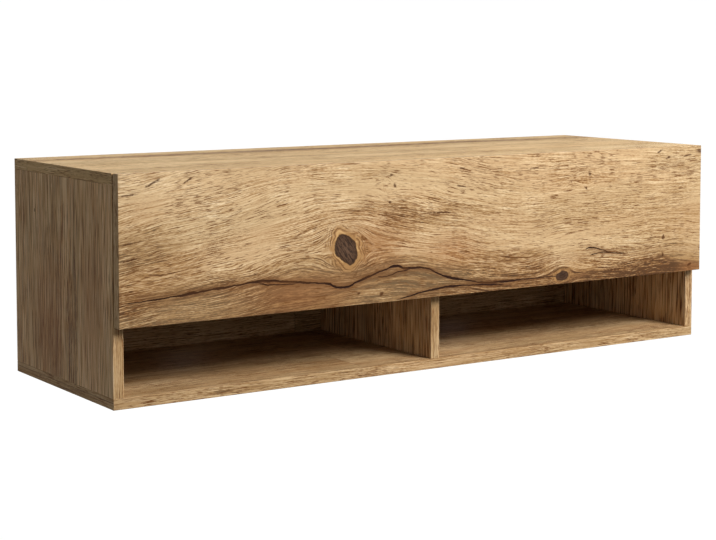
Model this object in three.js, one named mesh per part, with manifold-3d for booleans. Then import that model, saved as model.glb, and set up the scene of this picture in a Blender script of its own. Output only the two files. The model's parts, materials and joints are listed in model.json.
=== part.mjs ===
// A wall-hung media console: a carcass of faced boards with two open niches below and a drop-down flap above.
// Millimetres. X runs along the console, the room lies towards -Y, the wall is the plane y = 0, and Z is up.
// The origin is the middle of the wall rail's back face. Left and right are as seen from the room.
import * as THREE from "three";
import { mergeVertices } from "three/addons/utils/BufferGeometryUtils.js";
import Module from "manifold-3d";

const wasm = await Module();
wasm.setup();

// Driving dimensions
const overall = { width: 1100, height: 330, depth: 360 };
const board = { thickness: 16 };
const niche = { height: 100 };
const flap = { thickness: 16, gap: 2.25, sideInset: 1 };
const backBoard = { thickness: 3, recess: 18, tuck: 7.5 };
const groove = { sidePlay: 0.2, endPlay: 0.5 };

// Clearances and the overrun of every cut
const seam = 0.3;
const play = 0.1;
const boreEndPlay = 0.5;
const overrun = 2;
// Two points of an outline that lie closer than this are one
const mergeDistance = 0.001;

// Facets of a full circle
const facets = { hexagon: 6, fastener: 12, small: 12, medium: 16, large: 28 };

// Places that follow from the driving dimensions, with z counted from the underside
const sideOuter = overall.width / 2;
const sideInner = sideOuter - board.thickness;
const sideMiddle = sideOuter - board.thickness / 2;
const flapInner = -(overall.depth - flap.thickness);
const carcassFront = flapInner + flap.gap;
const backFace = -(backBoard.recess + backBoard.thickness);
const shelfUnder = board.thickness + niche.height;
const shelfTop = shelfUnder + board.thickness;
const topUnder = overall.height - board.thickness;
const rearEdge = backFace - seam;

// Cam fittings: a zinc cam in one board draws in a bolt that is screwed into the other
const camFitting = {
  radius: 7.5,
  depth: 12.5,
  fromJoint: 34,
  boltRadius: 3.5,
  threadRadius: 2.5,
  threadDepth: 11,
  slotWidth: 1.2,
  slotLength: 9,
  slotDepth: 2,
  fromFront: 45,
  fromBack: 75,
};

// Carcass screws, driven up through the bottom panel with their heads sunk in
const carcassScrew = {
  length: 50,
  sunk: 0.5,
  headRadius: 5,
  headHeight: 1.5,
  coneHeight: 2.5,
  shankRadius: 3.5,
  threadRadius: 2.5,
  socketRadius: 2.3,
  socketDepth: 1.8,
  fromFront: 50,
  fromBack: 60,
};

// Beech dowels that locate the two dividers
const dowel = { radius: 4, depth: 15, depthInTop: 12, chamfer: 1, fromFront: 60, fromBack: 70 };

// Flap hinges: a one-pivot concealed hinge with a cup in the flap and a cranked arm on the shelf
const cup = {
  boreRadius: 17.5,
  boreDepth: 13,
  edge: 3,
  wall: 0.9,
  floor: 0.7,
  rimRadius: 19,
  rimThickness: 1,
  rimBelow: 0.4,
  wingReach: 26,
  wingHeight: 13,
  wingHoleRadius: 2,
  wingHoleFromEnd: 4.5,
};
const hingePin = { inset: 10, radius: 1.1 };
const hingeArm = {
  knuckleRadius: 1.9,
  neckHalfWidth: 4,
  thickness: 2,
  bendRadius: 3,
  bodyHalfWidth: 8,
  bodyStart: 4,
  bodyLength: 52,
  lipDepth: 0.8,
  lipThickness: 1,
  rimClearance: 0.7,
  slotWidth: 5,
  slotLength: 10,
  slotFromEnd: 11,
  holeRadius: 2.2,
  holeFromStart: 13,
};
const hingePlate = {
  halfWidth: 6.4,
  wingReach: 17,
  wingLength: 16,
  start: 7,
  length: 46,
  holeRadius: 2.1,
  holeFromEnd: 4.5,
};
const hingePlaces = { outerFromSide: 94, middleFromCentre: 56 };

// Flap stays: a rod on the flap slides through a brake housing that swivels on the side panel.
// Both pivots lie at the same distance from the flap's axis, so rod and housing turn half as far as the flap.
const stay = {
  pivotRadius: 110,
  footReach: 12,
  closedDegrees: 20,
  openDegrees: 90,
  axisInset: 16,
};
const stayBracket = {
  thickness: 2,
  width: 22,
  height: 58,
  cornerRadius: 5,
  shoulderRadius: 5.5,
  shoulderHeight: 3,
  studRadius: 3,
  studBite: 4.6,
  holeRadius: 2.2,
  holeFromEnd: 8,
};
const stayHousing = {
  radius: 8.5,
  halfLength: 17,
  bossRadius: 6.5,
  neckRadius: 6,
  neckLength: 3,
  nutRadius: 7.8,
  nutLength: 6,
};
const stayRod = {
  radius: 3,
  eyeRadius: 5.5,
  eyeHalfWidth: 3,
  collarRadius: 4.6,
  collarLength: 5,
  collarChamfer: 1,
};
const stayFoot = {
  pinRadius: 2.5,
  earThickness: 2.5,
  earRadius: 5,
  earFootHalf: 9,
  baseThickness: 2,
  baseHalfWidth: 9,
  baseHalfHeight: 24,
  cornerRadius: 4,
  holeRadius: 2.2,
  holeFromEnd: 6.5,
};

// Push latch: a sprung plunger with a magnet tip under the top panel, and its steel plate on the flap
const latch = {
  fromCentre: 34,
  halfWidth: 8,
  height: 17,
  length: 66,
  front: 1,
  earThickness: 2.5,
  earReach: 15,
  earLength: 14,
  earHoleRadius: 2,
  earFromFront: 10,
  earFromBack: 10,
  noseRadius: 6.5,
  plungerRadius: 4,
  plungerLength: 54,
  neckRadius: 3.2,
  neckLength: 3,
  tipLength: 3,
  boreExtra: 3,
};
const strike = { radius: 8, thickness: 1.5, sinkRadius: 4, sinkBottomRadius: 2 };

// Cabinet hangers in the rear upper corners, and the rail on the wall that they hook over
const rail = {
  thickness: 1.5,
  plateHeight: 24,
  offset: 6,
  rampHeight: 3,
  lipHeight: 12,
  endGap: 2,
  below: 40,
  slotPitch: 176,
  slotLength: 12,
  slotWidth: 5.5,
};
const railSlots = 6;
const hanger = {
  width: 20,
  depth: 42,
  height: 60,
  topGap: 1,
  hookHalfThickness: 2,
  hookPlay: 0.4,
  hookBar: 6,
  hookLeg: 8,
  hookFromFront: 7,
  hookDrop: 36,
  noseThickness: 3,
  noseFromLip: 1,
  noseDrop: 9,
  roofThickness: 3,
  wingThickness: 2,
  wingReach: 16,
  wingHoleRadius: 2.4,
  screwRadius: 3,
  screwHeadRadius: 4.4,
  screwHeadHeight: 2.4,
  recessWidth: 1.1,
  recessLength: 5.4,
  recessDepth: 1.5,
  lowerScrewRise: 12,
};
const hookWindow = { halfWidth: 6, above: 2.5, below: 1.8 };

// Cable outlets in the back board
const outlet = { width: 70, height: 32, nicheRise: 66, bayRise: 45 };

// Materials
function finish(color, roughness, metalness) {
  return new THREE.MeshStandardMaterial({ color, roughness, metalness });
}

const oakFacing = finish("#b98f5b", 0.6, 0);
const oakFacingLengthwise = finish("#c29a66", 0.6, 0);
const backFacing = finish("#8a6845", 0.7, 0);
const nickelSteel = finish("#b9bbb8", 0.32, 1);
const zincCasting = finish("#9fa09c", 0.45, 1);
const galvanisedSteel = finish("#a8adb0", 0.42, 1);
const greyPlastic = finish("#8f9193", 0.55, 0);
const whitePlastic = finish("#e4e2dc", 0.5, 0);
const beech = finish("#d3ad7d", 0.7, 0);
const magnetTip = finish("#3a3b3d", 0.5, 0);

// Geometry helpers

const vector = (x, y, z) => new THREE.Vector3(x, y, z);
// A cylinder stands along Y. These turn it along another axis and change no digit.
const alongAxis = {
  x: new THREE.Matrix4().makeBasis(vector(0, 0, 1), vector(1, 0, 0), vector(0, 1, 0)),
  y: new THREE.Matrix4(),
  z: new THREE.Matrix4().makeBasis(vector(0, 1, 0), vector(0, 0, 1), vector(1, 0, 0)),
};
// An extruded shape lies in XY. These lay it in YZ, raised along +X, or in XZ, raised along -Y.
const profileInYZ = new THREE.Matrix4().makeBasis(vector(0, 1, 0), vector(0, 0, 1), vector(1, 0, 0));
const profileInXZ = new THREE.Matrix4().makeBasis(vector(1, 0, 0), vector(0, 0, 1), vector(0, -1, 0));

function solidOf(geometry) {
  const bare = geometry.clone();
  bare.deleteAttribute("normal");
  bare.deleteAttribute("uv");
  const merged = mergeVertices(bare);
  const mesh = new wasm.Mesh({
    numProp: 3,
    vertProperties: merged.attributes.position.array,
    triVerts: new Uint32Array(merged.index.array),
  });
  return new wasm.Manifold(mesh);
}

function geometryOf(solid) {
  const mesh = solid.getMesh();
  const geometry = new THREE.BufferGeometry();
  geometry.setAttribute("position", new THREE.BufferAttribute(mesh.vertProperties, mesh.numProp));
  geometry.setIndex(new THREE.BufferAttribute(mesh.triVerts, 1));
  return geometry;
}

function join(first, ...others) {
  return geometryOf(others.reduce((sum, other) => sum.add(solidOf(other)), solidOf(first)));
}

function cut(body, ...tools) {
  return geometryOf(tools.reduce((rest, tool) => rest.subtract(solidOf(tool)), solidOf(body)));
}

// A box between two corners, each given as [x, y, z].
function block(low, high) {
  const size = high.map((value, axis) => value - low[axis]);
  const middle = high.map((value, axis) => (value + low[axis]) / 2);
  return new THREE.BoxGeometry(...size).translate(...middle);
}

// A cylinder from low to high along an axis. The place gives its other two coordinates.
function cylinder(axis, radius, low, high, place = {}, count = facets.small) {
  const middle = { x: 0, y: 0, z: 0, ...place };
  middle[axis] = (low + high) / 2;
  const geometry = new THREE.CylinderGeometry(radius, radius, high - low, count);
  return geometry.applyMatrix4(alongAxis[axis]).translate(middle.x, middle.y, middle.z);
}

// A body turned about Y from a closed outline of [radius, height] points.
function turned(outline, count = facets.medium) {
  const points = outline.map(([radius, height]) => new THREE.Vector2(radius, height));
  return new THREE.LatheGeometry(points, count);
}

// A closed outline through points, leaving out a point that falls on the one before it
function outlineOf(points) {
  const apart = (a, b) => Math.hypot(a[0] - b[0], a[1] - b[1]) > mergeDistance;
  const kept = points.filter((point, index) => apart(point, points.at(index - 1)));
  return new THREE.Shape(kept.map(([a, b]) => new THREE.Vector2(a, b)));
}

// Points along an arc from one angle to another, its two ends included
function arcPoints(x, y, radius, from, to) {
  const steps = Math.max(1, Math.round((facets.small * Math.abs(to - from)) / (2 * Math.PI)));
  return Array.from({ length: steps + 1 }, (_, index) => {
    const angle = from + ((to - from) * index) / steps;
    return [x + radius * Math.cos(angle), y + radius * Math.sin(angle)];
  });
}

function roundedRectangle(width, height, radius) {
  const x = width / 2 - radius;
  const y = height / 2 - radius;
  const quarter = Math.PI / 2;
  const corners = [
    [x, y],
    [-x, y],
    [-x, -y],
    [x, -y],
  ];
  return outlineOf(
    corners.flatMap(([cornerX, cornerY], index) =>
      arcPoints(cornerX, cornerY, radius, index * quarter, (index + 1) * quarter),
    ),
  );
}

function extrude(shape, thickness) {
  return new THREE.ExtrudeGeometry(shape, { depth: thickness, bevelEnabled: false });
}

function extrudeAlongX(shape, low, high) {
  return extrude(shape, high - low).applyMatrix4(profileInYZ).translate(low, 0, 0);
}

function extrudeAlongY(shape, low, high) {
  return extrude(shape, high - low).applyMatrix4(profileInXZ).translate(0, high, 0);
}

function extrudeAlongZ(shape, low, high) {
  return extrude(shape, high - low).translate(0, 0, low);
}

function piece(name, geometry, material) {
  const mesh = new THREE.Mesh(geometry, material);
  mesh.name = name;
  return mesh;
}

function groupAt(x, y, z, ...members) {
  const group = new THREE.Group();
  group.position.set(x, y, z);
  group.add(...members);
  return group;
}

const sides = [
  { word: "left", sign: -1 },
  { word: "right", sign: 1 },
];
const ends = ["front", "rear"];
// Depths of a front and a rear place on a board that runs from the carcass's front to the back board
function depthsOf({ fromFront, fromBack }) {
  return { front: carcassFront + fromFront, rear: backFace - fromBack };
}

// Fasteners. Each is drawn about its own origin; grown by a clearance, the same body cuts its bore.

// Cam along -Z below the board's face, bolt along +X at the middle of the board's thickness.
function camFittingBody(grow = 0) {
  const jointX = camFitting.fromJoint;
  const depth = -board.thickness / 2;
  const end = grow > 0 ? boreEndPlay : 0;
  const cam = cylinder("z", camFitting.radius + grow, -camFitting.depth - end, grow > 0 ? overrun : 0);
  const bolt = cylinder("x", camFitting.boltRadius + grow, 0, jointX, { z: depth }, facets.fastener);
  const threadEnd = jointX + camFitting.threadDepth + end;
  const threadLow = jointX - overrun;
  const threadRadius = camFitting.threadRadius + grow;
  const thread = cylinder("x", threadRadius, threadLow, threadEnd, { z: depth }, facets.fastener);
  return join(cam, bolt, thread);
}

function camCross() {
  const half = camFitting.slotLength / 2;
  const thin = camFitting.slotWidth / 2;
  const low = -camFitting.slotDepth;
  const along = block([-half, -thin, low], [half, thin, overrun]);
  const across = block([-thin, -half, low], [thin, half, overrun]);
  return join(along, across);
}

// Carcass screw with its head at z = 0, pointing up.
function carcassScrewBody(grow = 0) {
  const head = carcassScrew.headRadius + grow;
  const shank = carcassScrew.shankRadius + grow;
  const thread = carcassScrew.threadRadius + grow;
  const coneTop = carcassScrew.headHeight + carcassScrew.coneHeight;
  const shankTop = board.thickness - carcassScrew.sunk;
  const low = grow > 0 ? -overrun : 0;
  const top = carcassScrew.length + (grow > 0 ? boreEndPlay : 0);
  const outline = [
    [0, low],
    [head, low],
    [head, carcassScrew.headHeight],
    [shank, coneTop],
    [shank, shankTop],
    [thread, shankTop],
    [thread, top - thread],
    [0, top],
  ];
  return turned(outline, facets.fastener).applyMatrix4(alongAxis.z);
}

// Dowel between two depths along Z, chamfered at both ends.
function dowelBody(low, high, grow = 0) {
  const radius = dowel.radius + grow;
  const end = grow > 0 ? boreEndPlay : 0;
  const outline = [
    [0, low - end],
    [radius - dowel.chamfer, low - end],
    [radius, low - end + dowel.chamfer],
    [radius, high + end - dowel.chamfer],
    [radius - dowel.chamfer, high + end],
    [0, high + end],
  ];
  return turned(outline, facets.fastener).applyMatrix4(alongAxis.z);
}

// Every place of each fastener, from which both the pieces and their bores are made
const camPlaces = sides.flatMap(({ word, sign }) =>
  ends.flatMap((end) => {
    const y = depthsOf(camFitting)[end];
    const inSide = new THREE.Matrix4()
      .makeBasis(vector(0, 0, 1), vector(0, sign, 0), vector(-sign, 0, 0))
      .setPosition(sign * sideInner, y, topUnder - camFitting.fromJoint);
    const inShelf = new THREE.Matrix4()
      .makeBasis(vector(sign, 0, 0), vector(0, sign, 0), vector(0, 0, 1))
      .setPosition(sign * (sideInner - camFitting.fromJoint), y, shelfTop);
    const wall = `side_panel_${word}`;
    return [
      { name: `cam_fitting_top_${word}_${end}`, matrix: inSide, boards: ["top_panel", wall] },
      { name: `cam_fitting_shelf_${word}_${end}`, matrix: inShelf, boards: ["middle_shelf", wall] },
    ];
  }),
);

const screwPlaces = [
  ...sides.map(({ word, sign }) => ({ where: word, x: sign * sideMiddle, board: `side_panel_${word}` })),
  { where: "divider", x: 0, board: "niche_divider" },
].flatMap(({ where, x, board: target }) =>
  ends.map((end) => ({
    name: `carcass_screw_${where}_${end}`,
    position: [x, depthsOf(carcassScrew)[end], carcassScrew.sunk],
    boards: ["bottom_panel", target],
  })),
);

const dowelPlaces = ends.flatMap((end) => {
  const y = depthsOf(dowel)[end];
  return [
    {
      name: `dowel_shelf_${end}`,
      y,
      low: shelfUnder - dowel.depth,
      high: shelfTop + dowel.depth,
      boards: ["niche_divider", "middle_shelf", "upper_divider"],
    },
    {
      name: `dowel_top_${end}`,
      y,
      low: topUnder - dowel.depth,
      high: topUnder + dowel.depthInTop,
      boards: ["upper_divider", "top_panel"],
    },
  ];
});

function fasteners() {
  const cams = camPlaces.map(({ name, matrix }) => {
    const mesh = piece(name, cut(camFittingBody(), camCross()), zincCasting);
    mesh.applyMatrix4(matrix);
    return mesh;
  });
  const screws = screwPlaces.map(({ name, position }) => {
    const { socketRadius, socketDepth } = carcassScrew;
    const socket = cylinder("z", socketRadius, -overrun, socketDepth, {}, facets.hexagon);
    const mesh = piece(name, cut(carcassScrewBody(), socket), nickelSteel);
    mesh.position.set(...position);
    return mesh;
  });
  const dowels = dowelPlaces.map(({ name, y, low, high }) => {
    const mesh = piece(name, dowelBody(low, high), beech);
    mesh.position.set(0, y, 0);
    return mesh;
  });
  return [...cams, ...screws, ...dowels];
}

// All bores that the fasteners need in one board
function boresIn(boardName) {
  const wanted = ({ boards }) => boards.includes(boardName);
  return [
    ...camPlaces.filter(wanted).map(({ matrix }) => camFittingBody(play).applyMatrix4(matrix)),
    ...screwPlaces.filter(wanted).map(({ position }) => carcassScrewBody(play).translate(...position)),
    ...dowelPlaces.filter(wanted).map(({ y, low, high }) => dowelBody(low, high, play).translate(0, y, 0)),
  ];
}

// Carcass boards

// The groove for the back board, as one frame-shaped cutter that every carcass board meets
function backGroove() {
  const reach = sideInner + backBoard.tuck + groove.endPlay;
  const low = board.thickness - backBoard.tuck - groove.endPlay;
  const high = topUnder + backBoard.tuck + groove.endPlay;
  const front = backFace - groove.sidePlay;
  const rear = -backBoard.recess + groove.sidePlay;
  return block([-reach, front, low], [reach, rear, high]);
}

// One board between two corners, with its stretch of the back's groove and the bores of its fasteners
function carcassBoard(name, low, high, material, grooved) {
  const tools = grooved ? [backGroove(), ...boresIn(name)] : boresIn(name);
  return piece(name, cut(block(low, high), ...tools), material);
}

function carcass() {
  const half = board.thickness / 2;
  const panels = [
    carcassBoard(
      "top_panel",
      [-sideOuter, carcassFront, topUnder],
      [sideOuter, 0, overall.height],
      oakFacingLengthwise,
      true,
    ),
    carcassBoard(
      "bottom_panel",
      [-sideOuter, carcassFront, 0],
      [sideOuter, 0, board.thickness],
      oakFacingLengthwise,
      true,
    ),
    carcassBoard(
      "middle_shelf",
      [-sideInner, carcassFront, shelfUnder],
      [sideInner, rearEdge, shelfTop],
      oakFacingLengthwise,
      false,
    ),
    carcassBoard(
      "niche_divider",
      [-half, carcassFront, board.thickness],
      [half, rearEdge, shelfUnder],
      oakFacing,
      false,
    ),
    carcassBoard(
      "upper_divider",
      [-half, carcassFront, shelfTop],
      [half, rearEdge, topUnder],
      oakFacing,
      false,
    ),
  ];
  const walls = sides.map(({ word, sign }) => {
    const across = [sign * sideInner, sign * sideOuter].sort((a, b) => a - b);
    return carcassBoard(
      `side_panel_${word}`,
      [across[0], carcassFront, board.thickness],
      [across[1], 0, topUnder],
      oakFacing,
      true,
    );
  });
  return [...panels, ...walls];
}

// The back board stands in the grooves. Each niche and bay has a cable outlet, and each hanger a window.
function backPanel() {
  const reach = sideInner + backBoard.tuck;
  const sheet = block(
    [-reach, backFace, board.thickness - backBoard.tuck],
    [reach, -backBoard.recess, topUnder + backBoard.tuck],
  );
  const rear = -backBoard.recess + overrun;
  const front = backFace - overrun;
  const outletShape = roundedRectangle(outlet.width, outlet.height, outlet.height / 2);
  const cutouts = sides.flatMap(({ sign }) => {
    const x = (sign * (sideInner + board.thickness / 2)) / 2;
    const heights = [board.thickness + outlet.nicheRise, shelfTop + outlet.bayRise];
    const outlets = heights.map((z) => extrudeAlongY(outletShape, front, rear).translate(x, 0, z));
    const windowX = sign * (sideInner - hanger.width / 2);
    const hangerWindow = block(
      [windowX - hookWindow.halfWidth, front, hookBarLow - hookWindow.below],
      [windowX + hookWindow.halfWidth, rear, hookBarLow + hanger.hookBar + hookWindow.above],
    );
    return [...outlets, hangerWindow];
  });
  return piece("back_panel", cut(sheet, ...cutouts), backFacing);
}

// Wall rail and hangers

const railMiddle = topUnder - rail.below;
const lipTop = rail.plateHeight / 2 + rail.rampHeight + rail.lipHeight;
const hookBarLow = railMiddle + lipTop + seam;

function wallRail() {
  const { thickness, plateHeight, offset, rampHeight, lipHeight, endGap } = rail;
  const rampLow = plateHeight / 2;
  const rampTop = rampLow + rampHeight;
  const outline = outlineOf([
    [0, -rampLow],
    [0, rampLow],
    [-offset, rampTop],
    [-offset, rampTop + lipHeight],
    [-offset - thickness, rampTop + lipHeight],
    [-offset - thickness, rampTop - thickness / 2],
    [-thickness, rampLow - thickness / 2],
    [-thickness, -rampLow],
  ]);
  const reach = sideInner - endGap;
  const slot = roundedRectangle(rail.slotLength, rail.slotWidth, rail.slotWidth / 2);
  const slots = Array.from({ length: railSlots }, (_, index) => {
    const x = (index - (railSlots - 1) / 2) * rail.slotPitch;
    return extrudeAlongY(slot, -thickness - overrun, overrun).translate(x, 0, 0);
  });
  const mesh = piece("wall_rail", cut(extrudeAlongX(outline, -reach, reach), ...slots), galvanisedSteel);
  return groupAt(0, 0, railMiddle, mesh);
}

// A cross recess at the origin, cut into a head that faces -Y
function crossRecess() {
  const half = hanger.recessLength / 2;
  const thin = hanger.recessWidth / 2;
  const deep = hanger.recessDepth;
  const along = block([-half, -overrun, -thin], [half, deep, thin]);
  const upright = block([-thin, -overrun, -half], [thin, deep, half]);
  return join(along, upright);
}

// One hanger, drawn about the middle of its width at the back board's front face. Its z is the carcass's.
function hangerSet({ word, sign }) {
  const roof = topUnder - hanger.topGap;
  const floor = roof - hanger.height;
  const front = -hanger.depth;
  const half = hanger.width / 2;
  const slotHalf = hanger.hookHalfThickness + hanger.hookPlay;
  const hookFront = front + hanger.hookFromFront;
  const hookBarTop = hookBarLow + hanger.hookBar;
  const legLow = hookBarTop - hanger.hookDrop;
  const shell = block([-half, front, floor], [half, -seam, roof]);
  const slotTop = hookBarTop + hanger.roofThickness / 2;
  const slot = block([-slotHalf, hookFront - seam, legLow - seam], [slotHalf, overrun, slotTop]);
  const upperScrewZ = hookBarLow + hanger.hookBar / 2;
  const lowerScrewZ = legLow + hanger.lowerScrewRise;
  const screwHeights = [upperScrewZ, lowerScrewZ];
  const screwBores = screwHeights.map((z) =>
    cylinder("y", hanger.screwRadius + play, front - overrun, hookFront, { z }, facets.fastener),
  );
  const wingMiddle = -seam - hanger.depth / 2;
  const wing = block(
    [-half, wingMiddle - hanger.wingReach / 2, floor - hanger.wingReach],
    [-half + hanger.wingThickness, wingMiddle + hanger.wingReach / 2, floor + overrun],
  );
  const wingHole = cylinder("x", hanger.wingHoleRadius, -half - overrun, half, {
    y: wingMiddle,
    z: floor - hanger.wingReach / 2,
  });
  // The wing lies on the side panel, so it is drawn on the side that the sign turns outwards.
  const outward = new THREE.Matrix4().makeScale(-sign, 1, 1);
  const wingSolid = sign < 0 ? wing : mirrored(wing, outward);
  const housing = cut(join(shell, wingSolid), slot, ...screwBores, wingHole);

  const wallSide = -backFace;
  const noseFront = wallSide - rail.offset + hanger.noseFromLip;
  const noseRear = noseFront + hanger.noseThickness;
  const noseLow = railMiddle + lipTop - hanger.noseDrop;
  const hookOutline = outlineOf([
    [noseFront, noseLow],
    [noseRear, noseLow],
    [noseRear, hookBarTop],
    [hookFront, hookBarTop],
    [hookFront, legLow],
    [hookFront + hanger.hookLeg, legLow],
    [hookFront + hanger.hookLeg, hookBarLow],
    [noseFront, hookBarLow],
  ]);
  const hook = extrudeAlongX(hookOutline, -hanger.hookHalfThickness, hanger.hookHalfThickness);

  const screws = ["depth", "height"].map((adjusts, index) => {
    const shaftEnd = hanger.hookFromFront - seam;
    const shaftStart = -hanger.screwHeadHeight / 2;
    const shaft = cylinder("y", hanger.screwRadius, shaftStart, shaftEnd, {}, facets.fastener);
    const head = cylinder("y", hanger.screwHeadRadius, -hanger.screwHeadHeight, 0);
    const recess = crossRecess().translate(0, -hanger.screwHeadHeight, 0);
    const mesh = piece(`hanger_${adjusts}_screw_${word}`, cut(join(shaft, head), recess), nickelSteel);
    mesh.position.set(0, front, screwHeights[index]);
    return mesh;
  });
  return groupAt(
    sign * (sideInner - half),
    backFace,
    0,
    piece(`hanger_housing_${word}`, housing, whitePlastic),
    piece(`hanger_hook_${word}`, hook, galvanisedSteel),
    ...screws,
  );
}

// A mirrored copy with its faces turned to point outwards again
function mirrored(geometry, matrix) {
  const copy = geometry.index ? geometry.toNonIndexed() : geometry.clone();
  copy.applyMatrix4(matrix);
  const place = copy.getAttribute("position");
  for (let i = 0; i < place.count; i += 3) {
    const [x, y, z] = [place.getX(i), place.getY(i), place.getZ(i)];
    place.setXYZ(i, place.getX(i + 1), place.getY(i + 1), place.getZ(i + 1));
    place.setXYZ(i + 1, x, y, z);
  }
  return copy;
}

// Flap and its hinges

const cupInner = cup.boreRadius - play - cup.wall;
// The pin lies as low as the knuckle can without touching the round cup wall at the arm's corners.
const cupDip = cup.boreRadius - Math.sqrt(cupInner ** 2 - hingeArm.neckHalfWidth ** 2);
const pinRise = cup.edge + cupDip + hingeArm.knuckleRadius + 2 * play;
const pinZ = shelfUnder + pinRise;
const pinY = flapInner - hingePin.inset;
const cupMiddleZ = shelfUnder + cup.edge + cup.boreRadius;
// The pin's ends stop in the cup's wall, inside the bore.
const pinHalfLength = Math.sqrt(cup.boreRadius ** 2 - (cupMiddleZ - pinZ + hingePin.radius) ** 2) - play;
// The arm passes over the cup's rim when the flap is open, and its plate fills the height that is left.
const armUnder = pinZ + hingePin.inset + cup.rimThickness + hingeArm.rimClearance;

const hingeX = {
  left: -(sideInner - hingePlaces.outerFromSide),
  middle: -hingePlaces.middleFromCentre,
  right: sideInner - hingePlaces.outerFromSide,
};

function flapFront() {
  const half = sideOuter - flap.sideInset;
  const front = block([-half, -overall.depth, shelfUnder], [half, flapInner, overall.height]);
  const boreEnd = flapInner - cup.boreDepth;
  const bores = Object.values(hingeX).map((x) =>
    cylinder("y", cup.boreRadius, boreEnd, flapInner + overrun, { x, z: cupMiddleZ }, facets.large),
  );
  return piece("flap_front", cut(front, ...bores), oakFacingLengthwise);
}

// Cup drawn about its own middle at the flap's inner face, with the flap's face as y = 0
function hingeCup(name) {
  const outer = cup.boreRadius - play;
  const bottom = play - cup.boreDepth;
  const drum = cylinder("y", outer, bottom, cup.rimThickness, {}, facets.large);
  const rim = cylinder("y", cup.rimRadius, 0, cup.rimThickness, {}, facets.large);
  const wingShape = roundedRectangle(2 * cup.wingReach, cup.wingHeight, cup.wingHeight / 2);
  const wings = extrudeAlongY(wingShape, 0, cup.rimThickness);
  const hollow = cylinder("y", cupInner, bottom + cup.floor, cup.rimThickness + overrun, {}, facets.large);
  const flat = block(
    [-cup.rimRadius, 0, -cup.rimRadius - overrun],
    [cup.rimRadius, cup.rimThickness + overrun, -cup.boreRadius - cup.rimBelow],
  );
  const pinHole = cylinder("x", hingePin.radius + play, -cup.boreRadius, cup.boreRadius, {
    y: -hingePin.inset,
    z: pinZ - cupMiddleZ,
  });
  const wingHoles = sides.map(({ sign }) =>
    cylinder("y", cup.wingHoleRadius, -overrun, cup.rimThickness + overrun, {
      x: sign * (cup.wingReach - cup.wingHoleFromEnd),
    }),
  );
  const body = cut(join(drum, rim, wings), hollow, flat, pinHole, ...wingHoles);
  const mesh = piece(name, body, nickelSteel);
  mesh.position.set(0, flapInner, cupMiddleZ);
  return mesh;
}

// Arm outline in YZ: up from the knuckle inside the cup, then back over the shelf
function armOutline(length) {
  const { knuckleRadius, thickness, bendRadius } = hingeArm;
  const under = armUnder - pinZ;
  const top = under + thickness;
  const half = thickness / 2;
  const lift = Math.acos(half / knuckleRadius);
  return outlineOf([
    ...arcPoints(0, 0, knuckleRadius, lift, -Math.PI - lift),
    ...arcPoints(bendRadius - half, top - bendRadius, bendRadius, Math.PI, Math.PI / 2),
    [length, top],
    [length, under],
    [half, under],
  ]);
}

// Arm drawn about the pin
function hingeArmBody(name) {
  const under = armUnder - pinZ;
  const bodyLow = carcassFront - pinY + hingeArm.bodyStart;
  const bodyHigh = bodyLow + hingeArm.bodyLength;
  const neck = extrudeAlongX(armOutline(bodyLow + overrun), -hingeArm.neckHalfWidth, hingeArm.neckHalfWidth);
  const top = under + hingeArm.thickness;
  const half = hingeArm.bodyHalfWidth;
  const inner = half - hingeArm.lipThickness;
  const lipLow = under - hingeArm.lipDepth;
  const body = block([-half, bodyLow, lipLow], [half, bodyHigh, top]);
  const channel = block([-inner, bodyLow - overrun, lipLow - overrun], [inner, bodyHigh + overrun, under]);
  const slotShape = roundedRectangle(hingeArm.slotWidth, hingeArm.slotLength, hingeArm.slotWidth / 2);
  const slotY = bodyHigh - hingeArm.slotFromEnd;
  const holeY = bodyLow + hingeArm.holeFromStart;
  const slot = extrudeAlongZ(slotShape, under - overrun, top + overrun).translate(0, slotY, 0);
  const hole = cylinder("z", hingeArm.holeRadius, under - overrun, top + overrun, { y: holeY });
  const knuckleBore = cylinder("x", hingePin.radius + play, -half, half);
  const mesh = piece(name, cut(join(neck, cut(body, channel)), slot, hole, knuckleBore), nickelSteel);
  mesh.position.set(0, pinY, pinZ);
  return mesh;
}

// Mounting plate on the shelf, drawn about its own front end on the shelf's top face.
// Its wings pass under the arm's lips.
function hingePlateBody(name) {
  const height = armUnder - seam - shelfTop;
  const { halfWidth, wingReach, wingLength, length } = hingePlate;
  const spine = block([-halfWidth, 0, 0], [halfWidth, length, height]);
  const wingLow = (length - wingLength) / 2;
  const wingTop = height - hingeArm.lipDepth;
  const wings = block([-wingReach, wingLow, 0], [wingReach, wingLow + wingLength, wingTop]);
  const holes = sides.map(({ sign }) =>
    cylinder("z", hingePlate.holeRadius, -overrun, height + overrun, {
      x: sign * (wingReach - hingePlate.holeFromEnd),
      y: length / 2,
    }),
  );
  const mesh = piece(name, cut(join(spine, wings), ...holes), nickelSteel);
  mesh.position.set(0, carcassFront + hingePlate.start, shelfTop);
  return mesh;
}

function hinge(word) {
  const pin = cylinder("x", hingePin.radius, -pinHalfLength, pinHalfLength);
  const pinMesh = piece(`hinge_pin_${word}`, pin, nickelSteel);
  pinMesh.position.set(0, pinY, pinZ);
  return groupAt(
    hingeX[word],
    0,
    0,
    hingeCup(`hinge_cup_${word}`),
    pinMesh,
    hingeArmBody(`hinge_arm_${word}`),
    hingePlateBody(`hinge_plate_${word}`),
  );
}

// Flap stays

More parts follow.
